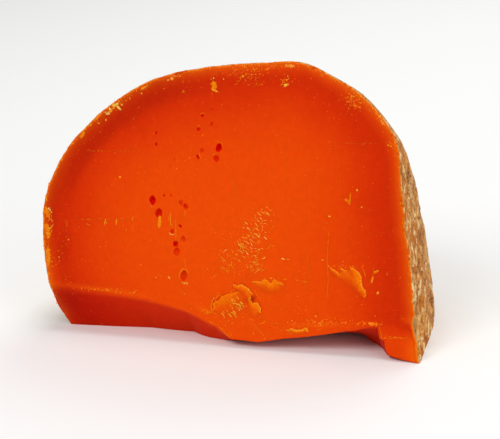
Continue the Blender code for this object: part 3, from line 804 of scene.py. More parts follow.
def undercut_section(along, edge_height, contact_back):
    """Section of the underside cutter, in mm as (y, z): flat ground behind, a ramp up to
    just under the face's lower edge, a small chamfer there, then on in front."""
    edge_y = edge_height * math.tan(FACE_LEAN)
    slope = edge_height / (contact_back - edge_y)
    uneven = wave(along / CHAMFER_WAVE_SIZE, 7.0)
    chamfer = min(LOWER_CHAMFER * (1.0 + uneven), CHAMFER_MOST * edge_height)
    top_y = edge_y + chamfer
    top_z = edge_height - chamfer * slope
    outline = [(-UNDER_REACH, -UNDER_REACH), (UNDER_REACH, -UNDER_REACH), (UNDER_REACH, 0.0)]
    for part in range(RAMP_PARTS + 1):
        share = part / RAMP_PARTS
        y = contact_back + (top_y - contact_back) * share
        uneven = wave(along / RAMP_WAVE_SIZE[0], y / RAMP_WAVE_SIZE[1], 3.0)
        bulge = uneven * RAMP_WAVE * math.sin(math.pi * share)
        outline.append((y, top_z * share + bulge))
    steep = max((2.0 * chamfer + top_z - edge_height) / chamfer, slope + STEEPER_IN_FRONT)
    outline.append((top_y - PAST_THE_FACE, top_z + PAST_THE_FACE * steep))
    outline.append((-UNDER_REACH, outline[-1][1]))
    return outline


def station_values(along):
    """Height of the face's lower edge and place of the ground behind it, in mm."""
    places, *columns = np.transpose(UNDERCUT_STATIONS)
    return [float(np.interp(along, places, column)) for column in columns]


def make_underside_cutter(slots):
    """All that lies under the piece, lofted through sections along it."""
    first, last = UNDERCUT_STATIONS[0][0], UNDERCUT_STATIONS[-1][0]
    places = np.arange(first, last, STATION_STEP)
    places = np.union1d(places, [station[0] for station in UNDERCUT_STATIONS])
    bm = bmesh.new()
    rings = []
    for along in places:
        outline = undercut_section(along, *station_values(along))
        corners = [FACE_FOOT + np.array((along, y, z)) * MM for y, z in outline]
        rings.append([bm.verts.new(corner) for corner in corners])
    skin(bm, rings)
    bmesh.ops.triangulate(bm, faces=bm.faces)
    turn_outward(bm)
    return new_mesh_object("underside_cut", bm, slots, UNDER)


def make_blob(name, matrix, divisions, rough, seed, slots, index):
    """One uneven ball of its own, placed by the matrix."""
    bm = bmesh.new()
    add_lump(bm, divisions, rough, LUMP_WAVE, seed)
    bm.transform(matrix)
    return new_mesh_object(name, bm, slots, index)


def make_eyes(slots):
    eyes = []
    least, most = EYE_DEPTH_SHARES
    for number, (along, up, width, height, turn, dark) in enumerate(EYES, start=1):
        place = face_matrix(along * MM, up * MM, -EYE_FORWARD, math.radians(turn))
        depth = (width + height) * (least + (most - least) * dark)
        radii = Matrix.Diagonal((width / 2.0 * MM, height / 2.0 * MM, depth * MM, 1.0))
        name = f"eye_{number}"
        eyes.append(make_blob(name, place @ radii, 3, EYE_UNEVEN, number * 3.7, slots, DEEP))
    return eyes


def make_bite(number, draw, smallest, largest, divisions, slots):
    """One bite in the rim, at a drawn place."""
    angle = RIM_FROM + (RIM_TO - RIM_FROM) * draw.random()
    radius = draw.uniform(smallest, largest)
    place = rind_points(rim_directions([angle]))[0] - INTO_CHEESE * radius * RIM_BITE_FORWARD
    radii = [radius * draw.uniform(*RIM_BITE_STRETCH) for _ in range(3)]
    shape = shape_matrix(place, draw.uniform(0.0, math.tau), INTO_CHEESE, radii)
    name = f"bite_{number}"
    return make_blob(name, shape, divisions, RIM_BITE_UNEVEN, number * 1.9, slots, CRUMBLED)


def make_bites(slots):
    draw = random.Random(SEED)
    bites = []
    for count, smallest, largest, divisions in RIM_BITES:
        for _ in range(count):
            bites.append(make_bite(len(bites), draw, smallest, largest, divisions, slots))
    return bites


def make_foot_step(slots):
    """A thin wedge off the lower part of the foot, deepest at its inner side."""
    width = FOOT_STEP_TO - FOOT_STEP_FROM
    wedge_turn = math.atan2(FOOT_STEP_DEPTH, width)
    place = face_matrix(FOOT_STEP_TO, FOOT_STEP_TOP)
    place = place @ Matrix.Rotation(wedge_turn, 4, "Y")
    place = place @ Matrix.Translation(Vector((-width, -width, width)) / 2.0)
    bm = bmesh.new()
    bmesh.ops.create_cube(bm, size=width, matrix=place)
    edges = [e for e in bm.edges if abs((e.verts[0].co - e.verts[1].co).normalized().x) > 0.9]
    bmesh.ops.subdivide_edges(bm, edges=edges, cuts=FOOT_STEP_CUTS)
    for vert in bm.verts:
        _, up, _ = on_face(np.array(vert.co))
        if up > FOOT_STEP_TOP - FOOT_STEP_UNEVEN:
            ragged = wave(vert.co.x / FOOT_STEP_WAVE_SIZE, 0.0, 4.0) * FOOT_STEP_WAVE
            vert.co += Vector(UP_FACE) * ragged
    bmesh.ops.triangulate(bm, faces=bm.faces)
    turn_outward(bm)
    return new_mesh_object("foot_step", bm, slots, PASTE)


def ragged_outline(outline, seed):
    """Closed outline in mm with points close together and a torn edge."""
    points = []
    for (u0, v0), (u1, v1) in zip(outline, outline[1:] + outline[:1]):
        length = math.hypot(u1 - u0, v1 - v0)
        count = max(1, round(length / FLAKE_OUTLINE_STEP))
        normal = ((v1 - v0) / length, -(u1 - u0) / length)
        for part in range(count):
            u = u0 + (u1 - u0) * part / count
            v = v0 + (v1 - v0) * part / count
            off = sum(wave(u / size, v / size, seed) * reach for size, reach in FLAKE_RAGGED)
            points.append((u + normal[0] * off, v + normal[1] * off))
    return points


def turned_left(points):
    """Whether the outline runs anticlockwise."""
    pairs = zip(points, points[1:] + points[:1])
    return sum(u0 * v1 - u1 * v0 for (u0, v0), (u1, v1) in pairs) > 0.0


def torn_edge(points, rise_turn):
    """For each point of a flake's outline, whether it is torn there, and the outward
    normal: it is torn where the outline faces the way in which the flake rises."""
    sign = 1.0 if turned_left(points) else -1.0
    way = Vector(rotated(1.0, 0.0, rise_turn))
    count = len(points)
    torn = []
    for index in range(count):
        before, after = points[index - TORN_POINTS], points[(index + TORN_POINTS) % count]
        tangent = Vector((after[0] - before[0], after[1] - before[1])).normalized()
        normal = Vector((tangent.y, -tangent.x)) * sign
        torn.append((normal.dot(way) > TORN_TURN, normal))
    return torn


def torn_runs(torn, cracked):
    """The torn points that have a crack beside them, as runs of neighbouring indices."""
    count = len(torn)
    start = next((i for i in range(count) if not torn[i][0]), 0)
    runs = []
    run = []
    for step in range(1, count + 1):
        index = (start + step) % count
        open_here = wave(index / TRENCH_GAP_SIZE, 5.0, count) > 0.5 - cracked
        if torn[index][0] and open_here:
            run.append(index)
        elif run:
            runs.append(run)
            run = []
    if run:
        runs.append(run)
    return [run for run in runs if len(run) >= TRENCH_SHORTEST]


def make_trench(name, points, torn, run, height, seed, slots):
    """One narrow crack outside a torn edge."""
    bm = bmesh.new()
    rings = []
    for position, index in enumerate(run):
        share = position / (len(run) - 1)
        taper = min(1.0, TRENCH_TAPER * share, TRENCH_TAPER * (1.0 - share)) + TRENCH_END
        uneven = 1.0 + TRENCH_WAVE * wave(index / TRENCH_WAVE_SIZE, seed)
        wide = TRENCH_WIDTH * height**0.5 * taper * uneven
        ring = []
        for off, deep in (
            (TRENCH_INNER, TRENCH_FRONT),
            (wide, TRENCH_FRONT),
            (wide * TRENCH_BOTTOM, TRENCH_DEPTH),
            (TRENCH_INNER, TRENCH_DEPTH),
        ):
            u = points[index][0] + torn[index][1].x * off
            v = points[index][1] + torn[index][1].y * off
            ring.append(bm.verts.new(face_points(u * MM, v * MM, deep * MM)))
        rings.append(ring)
    skin(bm, rings)
    bmesh.ops.triangulate(bm, faces=bm.faces)
    turn_outward(bm)
    return new_mesh_object(name, bm, slots, DEEP)


def make_trenches(slots):
    """Narrow cracks outside the torn edges of the flakes, dark from their depth and from painted
    shade.
    """
    trenches = []
    for number, (outline, rise_turn, height, _, cracked) in enumerate(FLAKES):
        if cracked == 0.0:
            continue
        points = ragged_outline(outline, number)
        torn = torn_edge(points, rise_turn)
        for part, run in enumerate(torn_runs(torn, cracked)):
            name = f"trench_{number}_{part}"
            trenches.append(make_trench(name, points, torn, run, height, number, slots))
    return trenches


def worn_rim(points, distance):
    """The points with the rim rounded over and made ragged."""
    depth = on_face(points)[2]
    near = (depth < WORN_BEHIND * MM) & (distance < WORN_ALONG)
    behind = np.maximum(depth[near], 0.0) / MM
    rounding = RIM_ROUNDING * (1.0 + summed_noise(points[near], RIM_ROUNDING_WAVES))
    corner = unit(1.0 - np.maximum(distance[near], behind) / rounding)
    pull = RIM_PULL * rounding * corner**2 * MM
    inward = BALL_CENTRE - points[near]
    inward /= np.linalg.norm(inward, axis=1)[:, None]
    ragged = np.minimum(summed_noise(points[near], RIM_RAGGED_WAVES), RIM_RAGGED_MOST)
    ragged = ragged * RIM_RAGGED * MM * corner
    moved = points.copy()
    moved[near] += INTO_CHEESE * pull[:, None] + inward * (pull - ragged)[:, None]
    return moved


def shares_by_index(mesh):
    """For each material index, the share of every vertex's faces that have it."""
    corners = read_all(mesh.loops, "vertex_index")
    sizes = read_all(mesh.polygons, "loop_total")
    indices = np.repeat(read_all(mesh.polygons, "material_index"), sizes)
    count = len(mesh.vertices)
    total = np.maximum(np.bincount(corners, minlength=count), 1)
    return [
        np.bincount(corners[indices == index], minlength=count) / total
        for index in (RIND, PASTE, UNDER, DEEP, CRUMBLED)
    ]


def calm_foot(along, up, distance):
    """Distances from the rim with the foot moved out of the dark band."""
    low = unit((LIGHT_FOOT_TOP - up) / LIGHT_FOOT_FADE)
    right = unit((along - LIGHT_FOOT_FROM) / LIGHT_FOOT_FADE)
    share = low * right * unit(distance - 1.0)
    return distance + np.maximum(LIGHT_FOOT_BAND - distance, 0.0) * share


def patch_share(along, up, patch_along, patch_up, long, wide, turn):
    """Share from 1 in the middle of an oval patch to 0 outside it."""
    forth, aside = rotated(along - patch_along, up - patch_up, -turn)
    return np.exp(-((forth / long) ** 2 + (aside / wide) ** 2))


def patches_at(patches, along, up):
    """Sum of the patches' values at places of the face."""
    return sum(value * patch_share(along, up, *oval) for *oval, value in patches)


def face_tone(along, up, distance, under):
    """Lighter and darker patches of the cut face, with painted shade on the underside, from -1
    for dark to 2 for cream.
    """
    tone = patches_at(PATCHES, along, up) * (1.0 - under)
    tone += patches_at(UNDER_SHADE_PATCHES, along, up) * under
    band = unit(distance / LEFT_BAND_BEGIN) * unit((LEFT_BAND_END - distance) / LEFT_BAND_FADE)
    left = unit(-along / LEFT_BAND_ALONG) * unit((up - LEFT_BAND_FROM_UP) / LEFT_BAND_UP)
    return tone - LEFT_BAND_DARKER * band * left


def painted_hollow_shade(mesh):
    """For each face corner, how much painted shade it gets as part of an eye or crack."""
    deep = read_all(mesh.polygons, "material_index") == DEEP
    along, up, _ = on_face(read_all(mesh.polygons, "center", 3, float))
    dark = deep * CRACK_SHADE
    for eye_along, eye_up, width, height, turn, value in EYES:
        radii = width / 2.0 * EYE_EDGE, height / 2.0 * EYE_EDGE
        share = patch_share(along / MM, up / MM, eye_along, eye_up, *radii, turn)
        dark[(share > math.exp(-1.0)) & deep] = value
    return np.repeat(dark, read_all(mesh.polygons, "loop_total"))


def speckle_shares(along, up, distance):
    """How thickly each place of the cut face is covered with small scraped spots."""
    at_rim = SPECKLED_RIM * np.exp(-((distance / SPECKLED_RIM_REACH) ** 2))
    return SPECKLED_ALL_OVER + at_rim + patches_at(SPECKLED, along, up)


def cut_ball(slots):
    """The ball with the large cut, the underside and all hollows taken off."""
    ball = make_ball(slots)
    hollows = make_eyes(slots) + make_trenches(slots) + make_bites(slots)
    combine(hollows[0], hollows[1:], "UNION")
    cutters = [make_face_cutter(slots), make_underside_cutter(slots), make_foot_step(slots)]
    combine(ball, cutters + hollows[:1], "DIFFERENCE")
    split_large_faces(ball.data)
    return ball


def set_rind_values(mesh, points, depth, on_rind):
    """Where the rind is pitted and where it is dusty."""
    from_centre = points - BALL_CENTRE
    pits = np.zeros(len(points))
    pits[on_rind] = [sum(pits_at(Vector(p))) for p in from_centre[on_rind]]
    set_values(mesh, "pit", np.minimum(pits, 1.0))
    from_disc = (DUSTY_FROM - from_centre[:, 0]) / DUSTY_FADE
    behind = DUSTY_BEHIND * (depth - DUSTY_BEHIND_FROM) / DUSTY_BEHIND_FADE
    dusty = np.maximum(from_disc, np.minimum(behind, DUSTY_BEHIND))
    set_values(mesh, "dusty", unit(dusty))


def make_cheese(paste, rind):
    cheese = cut_ball([rind, paste, paste, paste, paste])
    mesh = cheese.data
    points = mesh_points(mesh)
    along, up, depth = on_face(points)
    on_rind, on_paste, under, deep, crumbled = shares_by_index(mesh)
    distance = np.zeros(len(points))
    near = (on_rind < 1.0) | (depth < RIM_SEEN_BEHIND)
    distance[near] = rim_distances(along[near], up[near])
    points = worn_rim(points, distance)
    flat = (np.abs(depth) < FLAT_WITHIN * MM) | ((on_paste > 0.0) & (depth < MM))
    flat &= on_rind + deep + crumbled == 0.0
    calm = unit(distance / FACE_WAVES_FROM) * flat
    points += INTO_CHEESE * (summed_noise(points, FACE_WAVES) * calm * MM)[:, None]
    set_mesh_points(mesh, points)
    set_rind_values(mesh, points, depth, on_rind > 0.0)
    along, up = along / MM, up / MM
    set_values(mesh, "rim_mm", calm_foot(along, up, distance))
    # Painted shade in the eyes and cracks
    set_values(mesh, "deep", painted_hollow_shade(mesh), "CORNER")
    # Painted shade on the underside, growing just behind the cut face
    set_values(mesh, "under", under * unit(depth / UNDER_SHADE_FADE))
    set_values(mesh, "crumbled", crumbled)
    set_values(mesh, "tone", face_tone(along, up, distance, under))
    set_values(mesh, "speckle", speckle_shares(along, up, distance))
    mesh.shade_smooth()
    mesh.set_sharp_from_angle(angle=CHEESE_SHARP)
    return cheese


# Flakes

def make_small_piece(name, fill, paste):
    """Piece of many small parts on the face, which a function adds, with the values that
    the paste material reads."""
    bm = bmesh.new()
    fill(bm, bm.verts.layers.float.new("tone"))
    item = new_mesh_object(name, bm, [paste])
    mesh = item.data
    along, up, _ = on_face(mesh_points(mesh))
    set_values(mesh, "rim_mm", rim_distances(along, up))
    mesh.shade_smooth()
    mesh.set_sharp_from_angle(angle=PIECE_SHARP)
    return item


def points_inside(edge, edge_tree):
    """Places in mm in rows inside an outline, clear of it."""
    us, vs = zip(*edge)
    inside = []
    for row, v in enumerate(np.arange(min(vs), max(vs), FLAKE_CELL * FLAKE_ROW)):
        shift = FLAKE_CELL / 2.0 if row % 2 else 0.0
        for u in np.arange(min(us) + shift, max(us), FLAKE_CELL):
            if edge_tree.find((u, v, 0.0))[2] > FLAKE_CELL * FLAKE_CLEAR:
                inside.append((u, v))
    return inside


def flake_top(u, v, to_torn, to_root, height, seed):
    """How far a flake rises from the face at a place, in mm, and how light it is there,
    by the distances from its torn edge and from its root."""
    share = to_root / (to_root + to_torn + TINY)
    wrinkle_at = Vector((u / FLAKE_WRINKLE_SIZE, v / FLAKE_WRINKLE_SIZE, seed))
    wrinkle = noise.fractal(wrinkle_at, FLAKE_WRINKLE_ROUGHNESS, 2.0, 3)
    lip = math.exp(-((to_torn / LIP_REACH) ** 2))
    rise = -FLAKE_SINK + (height + FLAKE_SINK) * share
    rise += (FLAKE_WRINKLE * wrinkle - LIP_DROP * lip) * height * share
    uneven = wave(u / FLAKE_LIGHT_SIZE, v / FLAKE_LIGHT_SIZE, seed + 4.0)
    light = share**1.5 * (FLAKE_LIGHT + FLAKE_LIGHT_WAVE * uneven)
    often = wave(u / LIP_LIGHT_SIZE, v / LIP_LIGHT_SIZE, seed + 8.0) + LIP_LIGHT_OFTEN
    return rise, light + LIP_LIGHT * lip * max(0.0, often)


def add_flake(bm, tone, outline, rise_turn, height, bright, seed):
    """One closed wedge: flush with the face at its root and raised at its torn edge."""
    edge = ragged_outline(outline, seed)
    torn = [at_edge for at_edge, _ in torn_edge(edge, rise_turn)]
    if not turned_left(edge):
        edge.reverse()
        torn.reverse()
    edge_tree = tree_of(edge)
    torn_tree = tree_of([p for p, at_edge in zip(edge, torn) if at_edge])
    root_tree = tree_of([p for p, at_edge in zip(edge, torn) if not at_edge])
    corners = [Vector(p) for p in edge + points_inside(edge, edge_tree)]
    count = len(edge)
    verts, _, faces, *_ = delaunay_2d_cdt(corners, [], [list(range(count))], 1, TINY)
    tops, lows = [], []
    for u, v in verts:
        reaches = [tree.find((u, v, 0.0))[2] for tree in (torn_tree, root_tree)]
        rise, light = flake_top(u, v, *reaches, height * FLAKE_HEIGHT_SHARE, seed)
        tops.append(bm.verts.new(face_points(u * MM, v * MM, -rise * MM)))
        lows.append(bm.verts.new(face_points(u * MM, v * MM, FLAKE_ROOT * MM)))
        tops[-1][tone] = light * bright
        lows[-1][tone] = tops[-1][tone] * FLAKE_ROOT_LIGHT
    for face in faces:
        bm.faces.new([tops[i] for i in face])
        bm.faces.new([lows[i] for i in reversed(face)])
    skin(bm, (tops[:count], lows[:count]), closed=False)


def add_flakes(bm, tone):
    for number, (outline, rise_turn, height, bright, _) in enumerate(FLAKES):
        add_flake(bm, tone, outline, rise_turn, height, bright, number)


# Knife marks and crumbs

def mark_line(numbers):
    """Points close together along the mark's line, in mm, with the share of its length."""
    ends = np.reshape(numbers, (-1, 2))
    lengths = np.hypot(*np.diff(ends, axis=0).T)
    reached = np.concatenate([[0.0], np.cumsum(lengths)])
    count = max(3, round(reached[-1] / MARK_STEP))
    shares = np.linspace(0.0, 1.0, count + 1)
    us, vs = (np.interp(shares * reached[-1], reached, column) for column in ends.T)
    return us, vs, shares


def add_mark(bm, tone, points, width, height, value, seed, lift=0.0):
    """One thin ridge with ragged sides and ends that run out."""
    us, vs, shares = mark_line(points)
    along_u, along_v = np.gradient(us), np.gradient(vs)
    length = np.hypot(along_u, along_v)
    side_u, side_v = -along_v / length, along_u / length
    rings = []
    for u, v, su, sv, share in zip(us, vs, side_u, side_v, shares):
        taper = min(1.0, MARK_TAPER * share + MARK_END, MARK_TAPER * (1.0 - share) + MARK_END)
        uneven = wave(u / MARK_WAVE_SIZE, v / MARK_WAVE_SIZE, seed)
        half = width / 2.0 * taper * (1.0 + MARK_WIDTH_WAVE * uneven)
        tall = height * taper * (1.0 + MARK_HEIGHT_WAVE * uneven)
        sway = wave(u / MARK_SWAY_SIZE, v / MARK_SWAY_SIZE, seed + 9.0) * MARK_SWAY
        u, v = u + su * sway, v + sv * sway
        ring = []
        for off, depth in ((-half, MARK_ROOT), (0.0, -tall), (half, MARK_ROOT)):
            at = np.array((u + su * off, v + sv * off, depth - lift)) * MM
            vert = bm.verts.new(face_points(*at))
            vert[tone] = value if off == 0.0 else value * MARK_FOOT_TONE
            ring.append(vert)
        rings.append(ring)
    skin(bm, rings)


def add_stroke(bm, tone, start, end, value, lift, draw):
    """One short bent stroke."""
    (u0, v0), (u1, v1) = start, end
    bend = draw.uniform(-DASH_BEND, DASH_BEND)
    middle_u = (u0 + u1) / 2.0 - (v1 - v0) * bend
    middle_v = (v0 + v1) / 2.0 + (u1 - u0) * bend
    width = DASH_WIDTH * draw.uniform(*DASH_WIDTHS)
    height = DASH_HEIGHT * draw.uniform(*DASH_HEIGHTS)
    points = (u0, v0, middle_u, middle_v, u1, v1)
    add_mark(bm, tone, points, width, height, value, u0, lift)


def add_knife_marks(bm, tone):
    for number, (width, height, value, *points) in enumerate(MARKS):
        add_mark(bm, tone, points, width, height, value, number * 2.3)
    draw = random.Random(SEED + 1)
    for u0, v0, u1, v1 in STROKES:
        add_stroke(bm, tone, (u0, v0), (u1, v1), draw.uniform(*STROKE_TONE), 0.0, draw)
    for middle_u, middle_v, half_u, half_v, turn, spread, count, lift, value in DASH_PATCHES:
        for _ in range(count):
            u = middle_u + draw.uniform(-half_u, half_u)
            v = middle_v + draw.uniform(-half_v, half_v)
            way = turn + draw.gauss(0.0, spread)
            du, dv = rotated(draw.uniform(*DASH_LENGTH) / 2.0, 0.0, way)
            bright = value * draw.uniform(1.0 - DASH_TONE_SPREAD, 1.0 + DASH_TONE_SPREAD)
            add_stroke(bm, tone, (u - du, v - dv), (u + du, v + dv), bright, lift, draw)


def add_crumb(bm, tone, matrix, divisions, value, draw):
    """One crumb: a small uneven lump."""
    seed = draw.uniform(0.0, 50.0)
    for vert in add_lump(bm, divisions, CRUMB_ROUGHNESS, CRUMB_WAVE, seed):
        vert.co = matrix @ vert.co
        vert[tone] = value


def add_rim_crumb(bm, tone, rim_place, outward, radius, value, draw):
    """A crumb on the rim, sunk halfway."""
    radii = [radius * draw.uniform(*RIM_CRUMB_STRETCH) for _ in range(3)]
    inside = RIM_CRUMB_INSIDE * radius + draw.uniform(0.0, 1.0) ** 1.5 * RIM_CRUMB_REACH
    place = rim_place - outward * inside + INTO_CHEESE * RIM_CRUMB_BEHIND * radius
    angle = draw.uniform(0.0, math.tau)
    matrix = shape_matrix(place, angle, (draw.random(), 1.0, 0.3), radii)
    add_crumb(bm, tone, matrix, 1, value, draw)


def add_face_crumb(bm, tone, along, up, radius, value, draw):
    """A flat crumb on the face."""
    radii = [radius * draw.uniform(*stretch) * MM for stretch in CRUMB_STRETCH]
    turn = draw.uniform(0.0, math.tau)
    matrix = face_matrix(along * MM, up * MM, 0.0, turn) @ Matrix.Diagonal((*radii, 1.0))
    add_crumb(bm, tone, matrix, 2 if radius > FINE_CRUMB else 1, value, draw)


def add_rim_crumbs(bm, tone, draw):
    for start, end, count, smallest, largest, tone_from, tone_to in RIM_CRUMBS:
        angles = np.radians([draw.uniform(start, end) for _ in range(count)])
        directions = rim_directions(angles)
        for rim_place, outward in zip(rind_points(directions), directions):
            radius = draw.uniform(smallest, largest) * MM
            value = draw.uniform(tone_from, tone_to)
            add_rim_crumb(bm, tone, rim_place, outward, radius, value, draw)


def add_crumbs(bm, tone):
    draw = random.Random(SEED + 2)
    add_rim_crumbs(bm, tone, draw)
    places = [(*row, FACE_CRUMB_TONE) for row in FACE_CRUMBS]
    places += [(*row, CREAM_CRUMB_TONE) for row in CREAM_CRUMBS]
    for u, v, long, wide, turn, share in SPECKLED:
        count = round(long * wide * share * CRUMBS_PER_MM2)
        places.append((u, v, long, wide, turn, count, SPECKLE_CRUMB_LARGEST, FACE_CRUMB_TONE))
    for u, v, long, wide, turn, count, largest, tones in places:
        for _ in range(count):
            du, dv = rotated(draw.uniform(-long, long), draw.uniform(-wide, wide), turn)
            radius = FACE_CRUMB_SMALLEST + (largest - FACE_CRUMB_SMALLEST) * draw.random() ** 2
            value = draw.uniform(*tones)
            if on_the_cut(u + du, v + dv):
                add_face_crumb(bm, tone, u + du, v + dv, radius, value, draw)
    for along, up, radius in SINGLE_CRUMBS:
        add_face_crumb(bm, tone, along, up, radius, draw.uniform(*SINGLE_CRUMB_TONE), draw)


def on_the_cut(along, up):
    """Whether a place in mm is on the cut face: inside the rim, above the lower edge."""
    edge_height = station_values(along)[0] / math.cos(FACE_LEAN)
    if up < edge_height + CRUMB_CLEAR_OF_FOOT:
        return False
    place = np.array((along, up)) * MM
    nearest = RIM[RIM_TREE.find((*place, 0.0))[1]]
    to_rim = np.linalg.norm(nearest - FACE_MIDDLE)
    return np.linalg.norm(place - FACE_MIDDLE) < to_rim - CRUMB_CLEAR_OF_RIM


# Materials

class Graph:
    """Short way to add and join the nodes of one material."""

    def __init__(self, name):
        self.material = bpy.data.materials.new(name)
        self.material.use_nodes = True
        self.nodes = self.material.node_tree.nodes
        self.links = self.material.node_tree.links

    def put(self, value, socket):
        """Links a node's output to a socket, or sets the socket's own value."""
        if isinstance(value, bpy.types.NodeSocket):
            self.links.new(value, socket)
        else:
            socket.default_value = value

    def add(self, kind, output=0, inputs=None, **settings):
        node = self.nodes.new("ShaderNode" + kind)
        for key, value in settings.items():
            setattr(node, key, value)
        for key, value in (inputs or {}).items():
            self.put(value, node.inputs[key])
        return node.outputs[output]

    def attribute(self, name):
        return self.add("Attribute", "Fac", attribute_name=name)

    def math(self, operation, one, other):
        return self.add("Math", inputs={0: one, 1: other}, operation=operation)

    def times(self, one, other):
        return self.math("MULTIPLY", one, other)

    def between(self, value, low, high, to_low=0.0, to_high=1.0):
        """Soft step: to_low where the value is low, to_high where it is high."""
        inputs = {0: value, 1: low, 2: high, 3: to_low, 4: to_high}
        return self.add("MapRange", inputs=inputs, interpolation_type="SMOOTHSTEP")

    def mix(self, share, one, other, blend="MIX"):
        inputs = {0: share, 6: one, 7: other}
        return self.add("Mix", 2, inputs, data_type="RGBA", blend_type=blend)

    def ramp(self, value, stops, span=1.0):
        """Colours at places of the value, which are given in shares of the span."""
        node = self.nodes.new("ShaderNodeValToRGB")
        self.put(value, node.inputs[0])
        elements = node.color_ramp.elements
        while len(elements) < len(stops):
            elements.new(0.5)
        for element, (place, colour) in zip(elements, stops):
            element.position = place / span
            element.color = colour
        return node.outputs[0]

    def noise(self, where, scale, detail, roughness=0.5):
        """Noise around 0.5: waves in a metre, layers, and how strong the finer ones are."""
        settings = {"Vector": where, "Scale": scale, "Detail": detail, "Roughness": roughness}
        return self.add("TexNoise", "Fac", settings)

    def finish(self, height=None, strength=0.0, distance=0.0, **values):
        """Sets the shader's inputs, with a bump from the height if one is given."""
        shader = self.nodes["Principled BSDF"]
        if height is not None:
            inputs = {"Strength": strength, "Distance": distance, "Height": height}
            values["Normal"] = self.add("Bump", inputs=inputs)
        for key, value in values.items():
            self.put(value, shader.inputs[key.replace("_", " ")])
        return self.material


def linear(*screen):
    """Linear colour from red, green and blue in 0 to 255 steps of a screen."""
    out = []
    for step in screen:
        value = step / 255.0
        out.append(value / 12.92 if value <= 0.04045 else ((value + 0.055) / 1.055) ** 2.4)
    return (*out, 1.0)


# Colour of the paste by distance from the rim in mm; the lightest stops, at the rim itself, paint
# a highlight along its edge
PASTE_SPAN = 60.0
PASTE_AND_RIM_HIGHLIGHT_STOPS = (
    (0.0, linear(238, 150, 44)),
    (0.5, linear(226, 104, 10)),
    (1.1, linear(222, 84, 4)),
    (3.2, linear(214, 58, 2)),
    (6.0, linear(204, 43, 1)),
    (10.0, linear(208, 44, 1)),
    (16.0, linear(216, 52, 1)),
    (25.0, linear(226, 64, 1)),
    (38.0, linear(232, 72, 1)),
    (60.0, linear(234, 76, 1)),
)
# Colours that the paste takes on from one tone to another; the darkest also carries the painted
# shade on the underside and beside the crescent flake
TONE_COLOURS = (
    (0.0, -1.0, linear(150, 10, 0)),
    (0.0, 1.0, linear(254, 126, 2)),
    (1.0, 2.0, linear(255, 180, 52)),
    (2.0, 3.0, linear(254, 224, 146)),
)
# Painted shade: the underside's colour is multiplied by this darker red tint
UNDER_SHADE_TINT = (0.82, 0.36, 1.0, 1.0)
# Painted shade in the eyes and cracks: their faces are mixed towards this dark red
HOLLOW_SHADE_COLOUR = linear(228, 12, 0)
CRUMBLED_COLOUR = linear(222, 96, 12)
SPOT_ORANGE = linear(250, 126, 10)
SPOT_PALE = linear(252, 178, 66)
MOTTLE_STOPS = ((0.3, (0.93, 0.90, 0.9, 1.0)), (0.7, (1.0, 1.0, 1.0, 1.0)))
# Noises of the paste: waves in a metre, layers, and how strong the finer ones are
DRIFT_NOISE = (55.0, 3.0)
SPOT_NOISE = (1300.0, 3.0, 0.6)
PALE_SPOT_NOISE = (700.0, 2.0)
MOTTLE_NOISE = (420.0, 4.0, 0.6)
PASTE_NOISE = (1500.0, 3.0, 0.6)
# In mm, the range of the colours' drift, and how far inside the rim it is reached
DRIFT = 9.0
DRIFT_FULL_AT = 12.0
# Soft steps in the paste: from and to, then the values at both if not 0 and 1
BORDER_STEP = (0.1, 0.9)
SPOT_STEP = (0.70, 0.80)
PALE_SPOT_STEP = (0.50, 0.68)
PASTE_ROUGHNESS = (0.3, 0.7, 0.42, 0.55)
SPOTS_BY_SPECKLE = 0.30
PASTE_GRAIN = 0.25

# Colours of the rind: its patches, then what lies over them
RIND_STOPS = (
    (0.34, linear(184, 96, 16)),
    (0.44, linear(210, 126, 38)),
    (0.54, linear(222, 154, 72)),
    (0.64, linear(202, 114, 28)),
)
DUST_STOPS = (
    (0.36, linear(150, 106, 60)),
    (0.50, linear(184, 146, 98)),
    (0.62, linear(206, 174, 128)),
)
RIND_PALE = linear(230, 196, 132)
RIND_CREAM = linear(252, 226, 164)
RIND_GOLDEN = linear(208, 106, 18)
RIND_BROWN = linear(146, 78, 18)
PIT_COLOUR = linear(122, 70, 28)
PORE_COLOUR = linear(104, 48, 12)
# How the rind's patterns are drawn out, and its noises as for the paste
STRETCHED = (1.0, 0.45, 0.60)
STRETCHED_ACROSS = (1.0, 0.45, 1.0)
BROAD_NOISE = (110.0, 4.0, 0.6)
STREAK_NOISE = (390.0, 5.0, 0.64)
RIND_NOISE = (1700.0, 4.0, 0.7)
PALE_NOISE = (60.0, 3.0, 0.6)
GOLDEN_NOISE = (330.0, 3.0, 0.6)
PORES_PER_METRE = 620.0
# Soft steps in the rind, as for the paste
PALE_STEP = (0.48, 0.66, 0.0, 0.45)
CREAM_STEP = (0.53, 0.61, 0.0, 0.88)
CREAM_BY_PIT = (0.7, 0.1)
GOLDEN_STEP = (0.55, 0.64, 0.0, 0.42)
BROWN_STEP = (0.46, 0.37, 0.0, 0.78)
PIT_STEP = (0.25, 1.0, 0.0, 0.55)
PORE_STEP = (0.36, 0.22)
PORES_BY_GRAIN = (0.40, 0.52)
DUST_SHARE = 0.66
PORE_SHARE = 0.80
RIND_GRAIN = 0.6
PORE_DEPTH = 0.8


